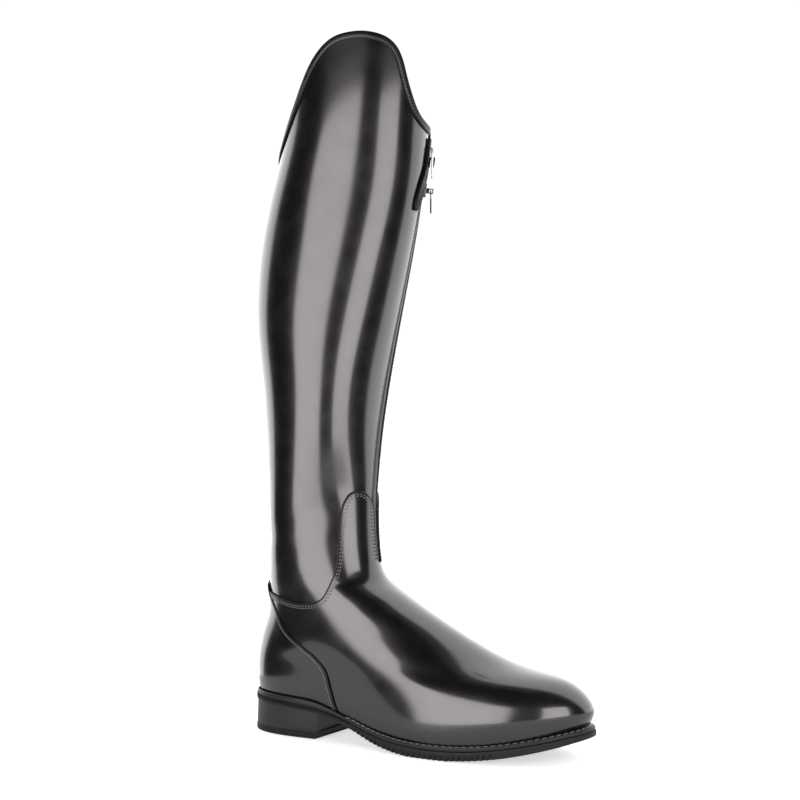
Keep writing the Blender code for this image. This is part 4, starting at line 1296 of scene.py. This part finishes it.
def make_lights():
    for name, azimuth, low, high, width in SOFTBOXES:
        spot = side_point(azimuth, BOX_DISTANCE, (low + high) / 2)
        aim = side_point(azimuth, 0, (low + high) / 2)
        area_light(name, spot, aim, width, high - low, BOX_RADIANCE)
    area_light("top_panel", (60, 0, 1900), (60, 0, 0), 1500, 1500, 0.15)


def make_world():
    """White where the camera looks past the boot; elsewhere a dim room before a bright backdrop."""
    world = bpy.data.worlds.new("studio")
    bpy.context.scene.world = world
    world.use_nodes = True
    tree = world.node_tree
    tree.nodes.clear()
    place = node(tree, "TexCoord").outputs["Generated"]
    rotation = (0, 0, np.radians(90 - CAMERA_AZIMUTH + BACKDROP_TURN))
    turned = node(tree, "Mapping", {"Rotation": rotation}, {"Vector": place}).outputs["Vector"]
    split = node(tree, "SeparateXYZ", links={"Vector": turned})
    lean = node(tree, "Math", {1: -BACKDROP_LEAN}, {0: split.outputs["Z"], 2: split.outputs["X"]},
                operation="MULTIPLY_ADD")
    behind = node(tree, "MapRange", {"From Min": -1.0, "From Max": 1.0}, {"Value": lean.outputs["Value"]})
    ramp = node(tree, "ValToRGB", links={"Fac": behind.outputs["Result"]})
    for stop, place, level in zip(ramp.color_ramp.elements, (0.40, 0.46), (BACKDROP, DIM)):
        stop.position = place
        stop.color = (level, level, level, 1)
    around = node(tree, "Background", {"Strength": 1.0}, {"Color": ramp.outputs["Color"]})
    seen = node(tree, "Background", {"Color": (1, 1, 1, 1), "Strength": WHITE})
    camera_ray = node(tree, "LightPath").outputs["Is Camera Ray"]
    links = {"Fac": camera_ray, 1: around.outputs["Background"], 2: seen.outputs["Background"]}
    mix = node(tree, "MixShader", links=links)
    node(tree, "OutputWorld", links={"Surface": mix.outputs["Shader"]})


def floor_sheet(name, outline, height, colour, glow):
    mat, tree, bsdf = shader(name, (colour, colour, colour), 0.9)
    bsdf.inputs["Emission Color"].default_value = (1, 1, 1, 1)
    bsdf.inputs["Emission Strength"].default_value = glow
    tree.links.new(bump(tree, noise(tree, 3.0), 0.02, 0.2), bsdf.inputs["Normal"])
    mesh = bpy.data.meshes.new(name)
    mesh.from_pydata([(x, y, height) for x, y in outline], [], [list(range(len(outline)))])
    mesh.materials.append(mat)
    obj = bpy.data.objects.new(name, mesh)
    bpy.context.scene.collection.objects.link(obj)
    obj.visible_shadow = False
    return obj


def make_floor():
    """White floor; only its near part shows in the leather, as with a boot on a small white base."""
    floor = floor_sheet("floor", [(-6, -6), (6, -6), (6, 6), (-6, 6)], -0.0004, 0.86, 0.52)
    floor.visible_glossy = False
    turn = np.linspace(0, 2 * np.pi, 49)[:-1]
    near = [(0.25 + 0.50 * np.cos(a), -0.05 + 0.45 * np.sin(a)) for a in turn]
    base = floor_sheet("floor_near", near, -0.0002, 0.50, 0.20)
    base.visible_camera = False
    base.visible_diffuse = False


def make_camera():
    data = bpy.data.cameras.new("photo_camera")
    data.lens = LENS
    data.sensor_width = 36.0
    data.shift_x, data.shift_y = SHIFT
    data.clip_start = 0.05
    data.clip_end = 30.0
    camera = bpy.data.objects.new("photo_camera", data)
    camera.location = Vector(CAMERA_AT) * MM
    camera.rotation_euler = (np.pi / 2, 0.0, np.radians(CAMERA_AZIMUTH))
    bpy.context.scene.collection.objects.link(camera)
    bpy.context.scene.camera = camera


def main():
    bpy.context.scene.view_settings.view_transform = "Standard"
    mats = make_materials()
    makers = (make_shaft, make_vamp, make_counter, make_binding, make_outsole, make_welt, make_heel,
              make_insole, make_zip, make_slider, make_strap)
    for make in makers:
        make(mats)
    make_floor()
    make_lights()
    make_world()
    make_camera()


main()
